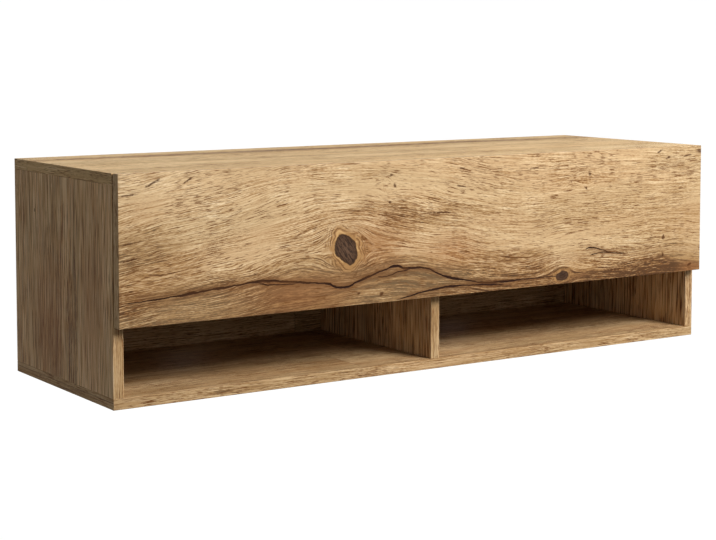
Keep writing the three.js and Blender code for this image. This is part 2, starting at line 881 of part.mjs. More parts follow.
const radians = THREE.MathUtils.degToRad;
const footAngle = Math.asin((hingePin.inset + stay.footReach) / stay.pivotRadius);
const bracketAngle = footAngle + radians(stay.closedDegrees);
const pivotAt = (angle) => ({
  y: pinY + stay.pivotRadius * Math.sin(angle),
  z: pinZ + stay.pivotRadius * Math.cos(angle),
});
const footPivot = pivotAt(footAngle);
const bracketPivot = pivotAt(bracketAngle);
const closedSpan = 2 * stay.pivotRadius * Math.sin(radians(stay.closedDegrees / 2));
const openSpan = 2 * stay.pivotRadius * Math.sin(radians((stay.closedDegrees + stay.openDegrees) / 2));
const rodSlope = (footAngle + bracketAngle) / 2;

// Side bracket drawn about its pivot, with the side panel's face as x = 0 and the bay towards -X
function bracketBody() {
  const { thickness, width, height, cornerRadius, holeRadius, holeFromEnd } = stayBracket;
  const shoulderEnd = thickness + stayBracket.shoulderHeight;
  const studEnd = shoulderEnd + seam + stayBracket.studBite;
  const base = extrudeAlongX(roundedRectangle(width, height, cornerRadius), -thickness, 0);
  const shoulder = cylinder("x", stayBracket.shoulderRadius, -shoulderEnd, -thickness / 2, {}, facets.medium);
  const stud = cylinder("x", stayBracket.studRadius, -studEnd, -thickness / 2, {}, facets.medium);
  const holeRise = height / 2 - holeFromEnd;
  const holes = [-holeRise, holeRise].map((z) =>
    cylinder("x", holeRadius, -thickness - overrun, overrun, { z }, facets.fastener),
  );
  return cut(join(base, shoulder, stud), ...holes);
}

// Brake housing turned about the rod's line, which is its Y axis, with a boss that sits on the bracket's stud
function housingBody() {
  const { radius, halfLength, neckRadius, neckLength, nutRadius, nutLength, bossRadius } = stayHousing;
  const bore = stayRod.radius + play;
  const nutLow = halfLength - nutLength;
  const neckLow = nutLow - neckLength;
  const outline = [
    [bore, -halfLength],
    [nutRadius, -halfLength],
    [radius, -halfLength + radius - nutRadius],
    [radius, neckLow],
    [neckRadius, neckLow],
    [neckRadius, nutLow],
    [nutRadius, nutLow],
    [nutRadius, halfLength],
    [bore, halfLength],
    [bore, -halfLength],
  ];
  const bossEnd = stay.axisInset - stayBracket.thickness - stayBracket.shoulderHeight - seam;
  const boss = cylinder("x", bossRadius, bore + 2 * play, bossEnd, {}, facets.medium);
  const socket = cylinder(
    "x",
    stayBracket.studRadius + play,
    bossEnd - stayBracket.studBite - seam,
    bossEnd + overrun,
    {},
    facets.medium,
  );
  return cut(join(turned(outline), boss), socket);
}

// Rod along +Y from the eye at its origin to the stop collar
function rodBody() {
  const { radius, eyeRadius, eyeHalfWidth, collarRadius, collarLength, collarChamfer } = stayRod;
  const collarLow = openSpan + stayHousing.halfLength + seam;
  const end = collarLow + collarLength;
  const outline = [
    [0, 0],
    [radius, 0],
    [radius, collarLow],
    [collarRadius, collarLow],
    [collarRadius, end - collarChamfer],
    [collarRadius - collarChamfer, end],
    [0, end],
  ];
  const eye = cylinder("x", eyeRadius, -eyeHalfWidth, eyeHalfWidth, {}, facets.medium);
  const hole = cylinder("x", stayFoot.pinRadius + play, -eyeRadius, eyeRadius, {}, facets.medium);
  return cut(join(turned(outline), eye), hole);
}

// Foot on the flap drawn about its pin, with the flap's inner face at y = -footReach
function footBody() {
  const { pinRadius, earThickness, earRadius, earFootHalf } = stayFoot;
  const { baseThickness, baseHalfWidth, baseHalfHeight, cornerRadius, holeRadius, holeFromEnd } = stayFoot;
  const face = -stay.footReach;
  const earInner = stayRod.eyeHalfWidth + seam;
  const ear = outlineOf([
    [face, -earFootHalf],
    ...arcPoints(0, 0, earRadius, -Math.PI / 2, Math.PI / 2),
    [face, earFootHalf],
  ]);
  const ears = [-1, 1].map((sign) => {
    const [low, high] = [sign * earInner, sign * (earInner + earThickness)].sort((a, b) => a - b);
    return extrudeAlongX(ear, low, high);
  });
  const pinHalf = earInner + earThickness / 2;
  const pin = cylinder("x", pinRadius, -pinHalf, pinHalf, {}, facets.medium);
  const baseShape = roundedRectangle(2 * baseHalfWidth, 2 * baseHalfHeight, cornerRadius);
  const base = extrudeAlongY(baseShape, face, face + baseThickness);
  const holeRise = baseHalfHeight - holeFromEnd;
  const holes = [-holeRise, holeRise].map((z) =>
    cylinder("y", holeRadius, face - overrun, face + baseThickness + overrun, { z }),
  );
  return cut(join(base, ...ears, pin), ...holes);
}

function staySet({ word, sign }) {
  const bracket = piece(`stay_bracket_${word}`, bracketBody(), nickelSteel);
  bracket.position.set(0, bracketPivot.y, bracketPivot.z);
  const housing = piece(`stay_brake_housing_${word}`, housingBody(), greyPlastic);
  housing.position.set(-stay.axisInset, bracketPivot.y, bracketPivot.z);
  const rod = piece(`stay_rod_${word}`, rodBody(), nickelSteel);
  rod.position.set(-stay.axisInset, footPivot.y, footPivot.z);
  housing.rotation.x = -rodSlope;
  rod.rotation.x = -rodSlope;
  const foot = piece(`stay_foot_${word}`, footBody(), nickelSteel);
  foot.position.set(-stay.axisInset, footPivot.y, footPivot.z);
  const group = groupAt(sign * sideInner, 0, 0, bracket, housing, rod, foot);
  group.scale.x = sign;
  return group;
}

// Push latch

function latchSet() {
  const { halfWidth, height, length, earThickness, earReach, earLength, plungerRadius } = latch;
  const axisZ = -height / 2;
  const strikeFace = -(flap.gap + latch.front) + strike.thickness;
  const tip = strikeFace + seam;
  const boreEnd = tip + latch.plungerLength + latch.boreExtra;
  const shell = block([-halfWidth, 0, -height], [halfWidth, length, 0]);
  const ears = [latch.earFromFront, length - latch.earFromBack].map((y) =>
    block([-earReach, y - earLength / 2, -earThickness], [earReach, y + earLength / 2, 0]),
  );
  const earHoles = [latch.earFromFront, length - latch.earFromBack].flatMap((y) =>
    sides.map(({ sign }) => {
      const x = (sign * (halfWidth + earReach)) / 2;
      return cylinder("z", latch.earHoleRadius, -earThickness - overrun, overrun, { x, y }, facets.fastener);
    }),
  );
  const bore = cylinder("y", plungerRadius + play, -overrun, boreEnd, { z: axisZ }, facets.medium);
  const countersink = cylinder("y", latch.noseRadius, -overrun, latch.front, { z: axisZ }, facets.medium);
  const body = cut(join(shell, ...ears), bore, countersink, ...earHoles);
  const housing = piece("latch_housing", body, greyPlastic);

  const neckLow = tip + latch.tipLength;
  const neckHigh = neckLow + latch.neckLength;
  const outline = [
    [0, tip],
    [plungerRadius - play, tip],
    [plungerRadius - play, neckLow],
    [latch.neckRadius, neckLow],
    [latch.neckRadius, neckHigh],
    [plungerRadius, neckHigh],
    [plungerRadius, tip + latch.plungerLength],
    [0, tip + latch.plungerLength],
  ];
  const plunger = piece("latch_plunger", turned(outline), magnetTip);
  plunger.position.z = axisZ;

  const disc = cylinder("y", strike.radius, 0, strike.thickness, {}, facets.medium);
  const sinkOutline = [
    [0, -overrun],
    [strike.sinkBottomRadius, -overrun],
    [strike.sinkBottomRadius, 0],
    [strike.sinkRadius, strike.thickness],
    [strike.sinkRadius, strike.thickness + overrun],
    [0, strike.thickness + overrun],
  ];
  const plate = piece("latch_strike_plate", cut(disc, turned(sinkOutline, facets.small)), nickelSteel);
  plate.position.set(latch.fromCentre, flapInner, topUnder + axisZ);
  const onTopPanel = groupAt(latch.fromCentre, carcassFront + latch.front, topUnder, housing, plunger);
  return [onTopPanel, plate];
}

// Assembly

const members = [
  ...carcass(),
  backPanel(),
  ...fasteners(),
  wallRail(),
  ...sides.map(hangerSet),
  flapFront(),
  ...Object.keys(hingeX).map(hinge),
  ...sides.map(staySet),
  ...latchSet(),
];
const mediaConsole = groupAt(0, 0, -railMiddle, ...members);
mediaConsole.name = "media_console";

export default mediaConsole;
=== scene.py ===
"""Dresses the wall-hung media console: wild oak boards, plated hardware, camera and studio.

The boards' print is drawn with nodes on a sheet in millimetres. The fittings keep the shapes of
their CAD solids, with eased edges, and the heads of their screws are added.
"""

from __future__ import annotations

import json
import logging
import math
from dataclasses import dataclass, field
from enum import Enum
from typing import Any, NamedTuple

import bmesh
import bpy
import numpy as np
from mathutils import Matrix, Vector

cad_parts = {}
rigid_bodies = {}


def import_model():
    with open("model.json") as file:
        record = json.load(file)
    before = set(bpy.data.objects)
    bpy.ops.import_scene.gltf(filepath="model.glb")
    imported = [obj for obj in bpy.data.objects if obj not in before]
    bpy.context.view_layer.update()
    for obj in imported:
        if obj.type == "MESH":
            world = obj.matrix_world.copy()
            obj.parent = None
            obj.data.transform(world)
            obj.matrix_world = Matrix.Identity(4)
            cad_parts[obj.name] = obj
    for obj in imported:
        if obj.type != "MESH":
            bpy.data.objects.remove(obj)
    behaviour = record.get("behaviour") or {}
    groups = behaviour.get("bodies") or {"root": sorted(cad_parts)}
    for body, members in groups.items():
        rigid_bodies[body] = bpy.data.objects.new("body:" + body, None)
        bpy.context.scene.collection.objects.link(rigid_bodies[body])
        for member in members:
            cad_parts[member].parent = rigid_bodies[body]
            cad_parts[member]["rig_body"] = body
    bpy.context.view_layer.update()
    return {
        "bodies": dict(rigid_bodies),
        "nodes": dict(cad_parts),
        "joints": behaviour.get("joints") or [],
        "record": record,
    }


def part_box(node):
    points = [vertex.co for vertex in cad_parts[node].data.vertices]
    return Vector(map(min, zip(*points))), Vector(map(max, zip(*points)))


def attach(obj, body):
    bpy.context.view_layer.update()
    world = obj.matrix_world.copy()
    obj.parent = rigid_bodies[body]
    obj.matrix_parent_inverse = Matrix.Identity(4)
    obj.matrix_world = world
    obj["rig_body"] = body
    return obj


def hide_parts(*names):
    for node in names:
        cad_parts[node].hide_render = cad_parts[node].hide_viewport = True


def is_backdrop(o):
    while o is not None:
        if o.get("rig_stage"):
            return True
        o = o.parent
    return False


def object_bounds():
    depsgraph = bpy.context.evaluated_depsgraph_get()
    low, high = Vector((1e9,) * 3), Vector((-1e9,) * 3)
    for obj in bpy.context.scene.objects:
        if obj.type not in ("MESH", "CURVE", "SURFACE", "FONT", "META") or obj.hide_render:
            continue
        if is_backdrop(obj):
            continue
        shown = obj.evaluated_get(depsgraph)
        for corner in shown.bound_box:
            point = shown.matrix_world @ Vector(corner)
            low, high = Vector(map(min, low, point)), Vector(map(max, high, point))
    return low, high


log = logging.getLogger("media_console")

Socket = bpy.types.NodeSocket
Value = Socket | float | tuple[float, ...] | str
Stops = tuple[tuple[float, str], ...]
Points = tuple[tuple[float, float], ...]
Place = tuple[float, float, float]
Frame = dict[str, Any]

MM = 0.001
# Points closer than WELD are one point, and faces that meet within FLAT_ANGLE are one face.
WELD = 0.002 * MM
FLAT_ANGLE = math.radians(0.5)
SAME_PLACE = 0.01 * MM
SIDES = (-1.0, 1.0)
GRAIN_MAP = "grain"
WHITE = "#ffffff"
SMOOTH = {"interpolation_type": "SMOOTHSTEP"}
COLOUR = {"data_type": "RGBA"}


def srgb(code: str) -> tuple[float, float, float, float]:
    """Turns a hex colour into Blender's linear values.

    Args:
        code: Six hex digits after a hash sign, as sRGB.

    Returns:
        Linear red, green and blue with an alpha of one.
    """
    parts = [int(code[i : i + 2], 16) / 255 for i in (1, 3, 5)]
    linear = [c / 12.92 if c <= 0.04045 else ((c + 0.055) / 1.055) ** 2.4 for c in parts]
    return (linear[0], linear[1], linear[2], 1.0)


def set_stops(ramp: bpy.types.ColorRamp, stops: Stops) -> None:
    """Gives a colour ramp its stops.

    Args:
        ramp: The ramp.
        stops: Position from 0 to 1 and hex colour of each stop.
    """
    while len(ramp.elements) < len(stops):
        ramp.elements.new(1.0)
    for element, (place, code) in zip(ramp.elements, stops):
        element.position = place
        element.color = srgb(code)


def set_points(mapping: bpy.types.CurveMapping, points: Points) -> None:
    """Bends a curve, which starts with its two ends, through points.

    Args:
        mapping: The curve.
        points: Place along the curve and height of each point, both from 0 to 1.
    """
    curve = mapping.curves[0]
    curve.points[0].location = points[0]
    curve.points[1].location = points[-1]
    for point in points[1:-1]:
        curve.points.new(*point)
    mapping.update()


@dataclass
class Graph:
    """The nodes of a material or a world, as they are put together."""

    tree: bpy.types.NodeTree

    def add(
        self,
        kind: str,
        *values: Value,
        named: dict[str, Value] | None = None,
        output: str = "",
        stops: Stops = (),
        points: Points = (),
        **settings: str,
    ) -> Socket | None:
        """Adds a node with its settings, values and links.

        Args:
            kind: The node's type, without the word ShaderNode in front.
            *values: What its first inputs get: a number, a vector, a hex colour or a socket.
            named: The same for inputs that are called by name.
            output: The output to return, if that isn't the first.
            stops: Position and hex colour of each stop, for a colour ramp.
            points: Points from 0 to 1 that a float curve goes through.
            **settings: Properties of the node itself.

        Returns:
            The output, or None from a node without outputs.
        """
        made = self.tree.nodes.new("ShaderNode" + kind)
        for name, setting in settings.items():
            setattr(made, name, setting)
        inputs = [socket for socket in made.inputs if socket.enabled]
        by_name = [(made.inputs[name], value) for name, value in (named or {}).items()]
        for socket, value in [*zip(inputs, values), *by_name]:
            if isinstance(value, Socket):
                self.tree.links.new(value, socket)
            else:
                socket.default_value = srgb(value) if isinstance(value, str) else value
        if stops:
            set_stops(made.color_ramp, stops)
        if points:
            set_points(made.mapping, points)
        outputs = [socket for socket in made.outputs if socket.enabled and output in ("", socket.name)]
        return outputs[0] if outputs else None

    def finish(self, values: dict[str, Value], height: Socket, depth_mm: float) -> None:
        """Ends a material in one principled surface, pressed by a height.

        Args:
            values: Inputs of the principled shader.
            height: Height from 0 to 1 that presses the surface.
            depth_mm: What a height of 1 stands for.
        """
        pressed = {"Height": height, "Distance": depth_mm * MM, "Strength": 1.0}
        normal = self.add("Bump", named=pressed)
        shader = self.add("BsdfPrincipled", named={**values, "Normal": normal})
        self.add("OutputMaterial", shader)


def new_material(name: str) -> tuple[bpy.types.Material, Graph]:
    """Makes a material without nodes.

    Args:
        name: The material's name.

    Returns:
        The material and its graph.
    """
    material = bpy.data.materials.new(name)
    material.use_nodes = True
    material.node_tree.nodes.clear()
    return material, Graph(material.node_tree)


@dataclass(frozen=True)
class Oval:
    """An oval on the printed sheet: centre and half-lengths in millimetres, turn in degrees."""

    centre: tuple[float, float]
    radii: tuple[float, float]
    turn: float = 0.0


@dataclass(frozen=True)
class Shade(Oval):
    """A patch of darker print with torn edges, or of paler print if its weight is negative. On the front,
    one wide dark patch is painted shade and one pale patch is painted light.
    """

    weight: float = 0.3


@dataclass(frozen=True)
class Bud(Oval):
    """An overgrown bud: thin brown rings that come and go, strongest just outside its oval.

    Attributes:
        push: Share of the grain's height over its middle by which it parts the grain.
        swell: Half-width and half-height of the oval that grain flows round, in longer half-lengths.
    """

    push: float = 0.65
    swell: tuple[float, float] = (1.4, 0.9)


@dataclass(frozen=True)
class Knot(Bud):
    """A knot: a dark core with gritty cracks, a black rim, and rings that fade into the grain.

    Attributes:
        ring_colour: The colour just outside the rim.
        heart: How black the middle of the core is, from 0 to 1.
    """

    push: float = 1.0
    swell: tuple[float, float] = (1.7, 1.05)
    ring_colour: str = "#c29a66"
    heart: float = 0.0
    grit_colour: str = "#1e120a"
    heart_colour: str = "#2a1a10"
    worn_colour: str = "#a0784a"
    line_colour: str = "#5f3f22"

    def rings(self) -> Stops:
        """Gives the colours of the core and the rings round it.

        Returns:
            Stops from the middle, at 0, over the core's rim, at 0.5, to twice its reach, at 1.
        """
        return (
            (0.0, "#5d4534"),
            (0.3, "#573f2e"),
            (0.43, "#432e1f"),
            (0.47, "#22140b"),
            (0.5, "#7d5a38"),
            (0.525, self.ring_colour),
            (0.55, self.ring_colour),
            (0.59, "#8a6138"),
            (0.66, "#ab8152"),
            (1.0, "#ac8250"),
        )


@dataclass(frozen=True)
class Crack:
    """A drying crack.

    Attributes:
        points: Points on its middle line, from left to right, in millimetres.
        width: Its full width in millimetres.
        pressed: Whether it is a groove in the foil as well as a line in the print.
        jag: How far its middle line strays from the points, in millimetres.
        taper: Share of its length over which each end runs out.
        halo: Width of the brown stain beside it, in millimetres.
        halo_strength: Strength of that stain, from 0 to 1.
    """

    points: Points
    width: float
    pressed: bool = False
    jag: float = 3.2
    taper: float = 0.13
    halo: float = 7.0
    halo_strength: float = 0.45


@dataclass(frozen=True)
class Noise:
    """Noise drawn out along the grain.

    Attributes:
        length: Size of a patch along the grain, in millimetres.
        width: Its size across the grain, in millimetres.
        detail: Octaves of finer noise.
        shift: Moves the pattern, so that two layers differ.
        roughness: Weight of each octave against the one before.
    """

    length: float
    width: float
    detail: float
    shift: float
    roughness: float = 0.55


@dataclass(frozen=True)
class Streaks:
    """A layer of streaks along the grain: its noise in millimetres and octaves, and its weight.

    A patchy layer is strong where the wood is rough and weak where it is smooth.
    """

    length: float
    width: float
    detail: float
    weight: float
    roughness: float = 0.55
    patchy: bool = False


@dataclass(frozen=True)
class Strokes:
    """A layer of short dark checks.

    Attributes:
        length: A check's length in millimetres.
        width: Its width in millimetres.
        level: The noise level that starts one.
        strength: How dark it is, from 0 to 1.
        patchiness: How much denser checks lie in some patches than in others.
    """

    length: float
    width: float
    level: float
    strength: float
    patchiness: float = 0.5


class Step(NamedTuple):
    """What a value turns into: `first` up to `start` and `last` from `end` on, and a slope between."""

    start: float
    end: float
    first: float = 1.0
    last: float = 0.0


TONE_PLACES = (0.0, 0.2, 0.42, 0.58, 0.74, 0.88, 1.0)

# Noise that every oak shares. Streaks and strokes count their shifts on from these.
STREAK_SHIFT, STROKE_SHIFT, DENSITY_SHIFT = 3.0, 61.0, 53.0
STREAK_STEP, STROKE_STEP = 7.0, 5.0
WAVE_SHIFT, RIPPLE_SHIFT = 11.0, 29.0
COOL_PATCHES = Noise(380.0, 60.0, 1.0, 41.0)
KNOT_GRIT = Noise(0.55, 0.13, 3.0, 89.0, 0.7)
MARK_EDGES = Noise(5.0, 5.0, 2.0, 97.0)
CRACK_JAGS = Noise(17.0, 30.0, 4.0, 101.0, 0.6)
CRACK_OPENING = Noise(42.0, 60.0, 3.0, 103.0)
BUD_EDGES = Noise(14.0, 14.0, 2.0, 107.0)
BUD_BREAKS = Noise(16.0, 12.0, 1.0, 109.0)
ROUGH_PATCHES = Noise(150.0, 55.0, 2.0, 113.0)
TORN_EDGES = Noise(260.0, 6.0, 3.0, 119.0, 0.6)
SCRATCHES = Noise(15.0, 1.8, 2.0, 127.0, 0.6)

# How strongly each noise shows. A check starts just under its level and is full just over it, and
# checks are dense in patches of the size given.
ROUGH_SHARE = Step(0.36, 0.64, 0.4, 1.4)
COOL_SHARE = Step(0.36, 0.62, 0.22, 0.0)
TEAR, SCRATCH_CONTRAST = 1.6, 3.6
STROKE_START, STROKE_END = -0.03, 0.05
DENSE_LENGTH, DENSE_WIDTH = 120.0, 45.0

# The foil. A crack is pressed in by PRESS_DEPTH millimetres and a check by its share of that, and
# a joint between planks is darkest over its core's share of its width.
FOIL_ROUGHNESS, STROKE_ROUGHNESS = 0.56, 0.16
PRESS_DEPTH, STROKE_DEPTH_SHARE = 0.5, 0.3
JOINT_CORE = 0.2

# Patches, over their ovals' reach. The heartwood's start is measured over a crack in millimetres.
SHADE_SHARE = Step(0.0, 1.0)
BLUSH_SHARE = Step(0.0, 1.0, 0.42, 0.0)
HEARTWOOD_EDGE = (-8.0, 30.0)

# Marks and buds, over their ovals' reach.
MARK_UNEVEN, MARK_SHARE = 1.3, Step(0.95, 1.75, 0.85, 0.0)
BUD_UNEVEN, BUD_WAVES, BUD_RIM = 0.7, 17.0, 1.45
BUD_LINE = Step(0.4, 1.0, 0.0, 1.0)
BUD_SHARE = Step(0.2, 0.45, 0.55, 0.0)
BUD_BREAK = Step(0.46, 0.6, 0.0, 1.0)

# A knot, over its core's reach, and the sizes of its patches and breaks over its longer
# half-length. Its lines are the crests of a sine.
KNOT_UNEVEN, KNOT_PATCH, KNOT_BREAK = 0.5, 0.9, 0.8
KNOT_OUTSIDE = Step(1.0, 1.25, 0.0, 0.7)
KNOT_GRIT_SHARE = Step(0.42, 0.56, 0.8, 0.0)
KNOT_CORE = Step(0.8, 1.0)
KNOT_HEART_EDGE = (0.25, 0.95)
KNOT_WORN = Step(0.44, 0.56)
KNOT_RIM = Step(0.97, 1.03, 0.0, 1.0)
KNOT_COVER, KNOT_THIN = Step(1.15, 1.7), 0.12
KNOT_WAVES, KNOT_LINE = 26.0, Step(0.35, 0.95, 0.0, 1.0)
KNOT_LINE_BREAK = Step(0.38, 0.54, 0.0, 1.0)
KNOT_LINE_START, KNOT_LINE_END = Step(1.12, 1.2, 0.0, 1.0), Step(1.5, 2.3, 0.85, 0.0)

# A crack: the noise that opens it, its half-widths over its width, the share of them left at its
# ends, and the softness of its edge and the run-out of its tips in millimetres.
CRACK_NOISE, CRACK_HALF = (0.34, 0.66), (0.3, 0.66)
CRACK_LEFT_END, CRACK_RIGHT_END = 0.2, 0.1
CRACK_EDGE, CRACK_RUN_OUT = Step(-0.3, 0.5), 6.0


@dataclass(frozen=True)
class WildOak:
    """Matt melamine foil printed as wild oak, pressed with shallow pores.

    The print gives the eye bands, growth lines, short dark strokes, knots and drying cracks. The
    foil is matt, so it shows a broad soft sheen and no sharp reflection.

    Attributes:
        base_tone: The print's middle tone, from 0, the palest, to 1, the darkest.
        tones: The colours of the tones at TONE_PLACES.
        gloss: The shader's specular level.
        wave_height: Height of the grain's slow waves, in millimetres. Its ripples are shorter waves.
        plank_width: Width of the printed planks in millimetres, or 0 where there are none.
        bow: Points of a bow that the whole sheet's grain follows.
        heartwood: How much darker the print is below the first crack.
    """

    name: str
    base_tone: float = 0.482
    tones: tuple[str, ...] = ("#efd8b3", "#dec39b", "#caab81", "#b7956d", "#9a7549", "#775334", "#4f351f")
    stroke_colour: str = "#694220"
    mark_colour: str = "#411c00"
    crack_colour: str = "#220b00"
    cool_colour: str = "#a68f68"
    blush_colour: str = "#9a653a"
    bud_colour: str = "#7d552f"
    gloss: float = 0.1
    streaks: tuple[Streaks, ...] = (
        Streaks(540.0, 42.0, 2.0, 0.42),
        Streaks(300.0, 4.5, 3.0, 0.3, 0.6),
        Streaks(130.0, 2.0, 1.0, 0.42),
        Streaks(52.0, 1.2, 1.0, 0.8, patchy=True),
        Streaks(6.0, 1.4, 1.0, 0.3, patchy=True),
    )
    strokes: tuple[Strokes, ...] = (Strokes(30.0, 1.3, 0.7, 1.0, 0.46), Strokes(16.0, 1.05, 0.67, 0.75))
    wave_length: float = 300.0
    wave_height: float = 34.0
    ripple_length: float = 110.0
    ripple_height: float = 9.0
    plank_width: float = 0.0
    plank_length: float = 900.0
    plank_contrast: float = 0.16
    joint_width: float = 0.9
    joint_strength: float = 0.55
    knots: tuple[Knot, ...] = ()
    buds: tuple[Bud, ...] = ()
    marks: tuple[Oval, ...] = ()
    shades: tuple[Shade, ...] = ()
    blushes: tuple[Oval, ...] = ()
    cracks: tuple[Crack, ...] = ()
    bow: Points = ()
    heartwood: float = 0.0

    def build(self) -> bpy.types.Material:
        """Builds the material.

        Returns:
            The finished material.
        """
        material, graph = new_material(self.name)
        OakPrint(graph.tree, self).draw()
        return material


@dataclass
class OakPrint(Graph):
    """Draws the print of a wild oak with nodes.

    Attributes:
        oak: What is drawn.
        sheet: Position on the sheet in millimetres.
        u: Its part along the grain.
        v: Its part across the grain.
        along: Position on straight grain, before the grain is bent.
    """

    oak: WildOak
    sheet: Socket = field(init=False)
    u: Socket = field(init=False)
    v: Socket = field(init=False)
    along: Socket = field(init=False)

    def draw(self) -> None:
        """Draws the print layer by layer and ends it in matt foil."""
        oak = self.oak
        metres = self.add("UVMap", uv_map=GRAIN_MAP)
        self.sheet = self.add("VectorMath", metres, (1 / MM, 1 / MM, 0.0), operation="MULTIPLY")
        self.u = self.add("SeparateXYZ", self.sheet, output="X")
        self.v = self.add("SeparateXYZ", self.sheet, output="Y")
        place, plank_tone, dark = self.planks()
        self.along = self.flow(place)
        tone = self.tone(plank_tone)
        colour = self.add("ValToRGB", tone, stops=tuple(zip(TONE_PLACES, oak.tones)))
        colour = self.tint(colour)
        strokes = self.strokes()
        colour = self.add("Mix", strokes, colour, oak.stroke_colour, **COLOUR)
        for knot in oak.knots:
            colour = self.draw_knot(colour, knot)
        for bud in oak.buds:
            colour = self.draw_bud(colour, bud)
        dark = self.dark_marks(dark)
        colour = self.add("Mix", dark, colour, oak.mark_colour, **COLOUR)
        depth = self.add("Math", strokes, STROKE_DEPTH_SHARE, operation="MULTIPLY")
        for crack in oak.cracks:
            gap, halo = self.crack_masks(crack)
            colour = self.add("Mix", halo, colour, oak.stroke_colour, **COLOUR)
            colour = self.add("Mix", gap, colour, oak.crack_colour, **COLOUR)
            if crack.pressed:
                depth = self.add("Math", depth, gap, operation="MAXIMUM")
        height = self.add("Math", 1.0, depth, operation="SUBTRACT")
        rough = self.add("Math", strokes, STROKE_ROUGHNESS, FOIL_ROUGHNESS, operation="MULTIPLY_ADD")
        values = {"Base Color": colour, "Roughness": rough, "Specular IOR Level": oak.gloss}
        self.finish(values, height, depth_mm=PRESS_DEPTH)

    def noise(self, place: Socket, layer: Noise) -> Socket:
        """Draws noise from 0 to 1, about one half on average.

        Args:
            place: Position in the noise's own unit, with the grain along its first part.
            layer: The noise's sizes.

        Returns:
            The noise.
        """
        scale = (1 / layer.length, 1 / layer.width, 1.0)
        moved = {"Location": (layer.shift, layer.shift, 0.0), "Scale": scale}
        sized = self.add("Mapping", place, named=moved)
        return self.add("TexNoise", sized, 1.0, layer.detail, layer.roughness, noise_dimensions="2D")

    def reach(self, oval: Oval) -> tuple[Socket, Socket]:
        """Measures how far a point lies from an oval's centre.

        Args:
            oval: The oval.

        Returns:
            The place in the oval's own turned and stretched frame, and its distance from the
            centre as a share of the oval's reach: 0 at the centre, 1 on the rim.
        """
        turn = (0.0, 0.0, math.radians(oval.turn))
        frame = (self.sheet, (*oval.centre, 0.0), turn, (*oval.radii, 1.0))
        local = self.add("Mapping", *frame, vector_type="TEXTURE")
        return local, self.add("VectorMath", local, operation="LENGTH")

    def curve(self, points: Points) -> Socket:
        """Gives the height of a smooth curve at each place along the grain.

        Args:
            points: Points on the curve, from left to right, in millimetres.

        Returns:
            The height in millimetres, which beyond an end stays as it is there.
        """
        places = np.array(points)
        low, high = places.min(0), places.max(0)
        shares = ((places - low) / (high - low)).tolist()
        part = self.add("MapRange", self.u, low[0], high[0])
        rise = self.add("FloatCurve", named={"Value": part}, points=shares)
        return self.add("Math", rise, high[1] - low[1], low[1], operation="MULTIPLY_ADD")

    def planks(self) -> tuple[Socket, Value, Value]:
        """Splits the sheet into printed planks, each with its own stretch of grain and tone.

        Returns:
            The position on the plank, the plank's tone from 0 to 1, and how dark its joints are,
            or the sheet itself, one half and nothing where there are no planks.
        """
        oak = self.oak
        if not oak.plank_width:
            return self.sheet, 0.5, 0.0
        row = self.add("Math", self.v, oak.plank_width, operation="DIVIDE")
        row_start = self.add("Math", row, operation="FLOOR")
        row_shift = self.add("TexWhiteNoise", row_start, noise_dimensions="1D")
        column = self.add("Math", self.u, oak.plank_length, operation="DIVIDE")
        column = self.add("Math", column, row_shift, operation="ADD")
        column_start = self.add("Math", column, operation="FLOOR")
        cell = self.add("CombineXYZ", column_start, row_start)
        tone = self.add("TexWhiteNoise", cell, noise_dimensions="2D")
        random = self.add("TexWhiteNoise", cell, output="Color", noise_dimensions="2D")
        shift = self.add("VectorMath", random, (4000.0, 4000.0, 0.0), operation="MULTIPLY")
        place = self.add("VectorMath", self.sheet, shift, operation="ADD")
        side = self.joint(row, oak.plank_width)
        butt = self.joint(column, oak.plank_length)
        line = self.add("Math", side, butt, operation="MAXIMUM")
        return place, tone, self.add("Math", line, oak.joint_strength, operation="MULTIPLY")

    def joint(self, count: Socket, pitch: float) -> Socket:
        """Draws a line wherever a count of planks passes a whole number.

        Args:
            count: The count, with its fraction.
            pitch: Size of a plank in millimetres.

        Returns:
            1 on the line and 0 away from it.
        """
        part = self.add("Math", count, operation="FRACT")
        away = self.add("Math", part, 0.5, operation="SUBTRACT")
        away = self.add("Math", away, operation="ABSOLUTE")
        gap = self.add("Math", 0.5, away, operation="SUBTRACT")
        width = self.oak.joint_width / pitch
        return self.add("MapRange", gap, JOINT_CORE * width, width, 1.0, 0.0, **SMOOTH)

    def flow(self, place: Socket) -> Socket:
        """Bends the grain: a bow over the whole sheet, slow waves, ripples, and a stream round knots.

        Round a knot the grain moves as water does round a post: a line at height h above the
        knot's middle is drawn from height h (1 - push / d^2), where d is its distance in reaches
        or 1, whichever is more.

        Args:
            place: Position on the plank in millimetres.

        Returns:
            The position on straight grain.
        """
        oak = self.oak
        wave = self.noise(place, Noise(oak.wave_length, oak.wave_length / 3, 1.0, WAVE_SHIFT))
        ripple = self.noise(place, Noise(oak.ripple_length, oak.ripple_length / 3, 1.0, RIPPLE_SHIFT))
        lift = self.add("Math", wave, oak.wave_height, -oak.wave_height / 2, operation="MULTIPLY_ADD")
        lift = self.add("Math", ripple, oak.ripple_height, lift, operation="MULTIPLY_ADD")
        if oak.bow:
            lift = self.add("Math", lift, self.curve(oak.bow), operation="SUBTRACT")
        for growth in (*oak.knots, *oak.buds):
            width, height = (max(growth.radii) * share for share in growth.swell)
            _, near = self.reach(Oval(growth.centre, (width, height)))
            square = self.add("Math", near, near, operation="MULTIPLY")
            square = self.add("Math", square, 1.0, operation="MAXIMUM")
            above = self.add("Math", self.v, growth.centre[1], operation="SUBTRACT")
            pushed = self.add("Math", above, square, operation="DIVIDE")
            lift = self.add("Math", pushed, -growth.push, lift, operation="MULTIPLY_ADD")
        offset = self.add("CombineXYZ", 0.0, lift)
        return self.add("VectorMath", place, offset, operation="ADD")

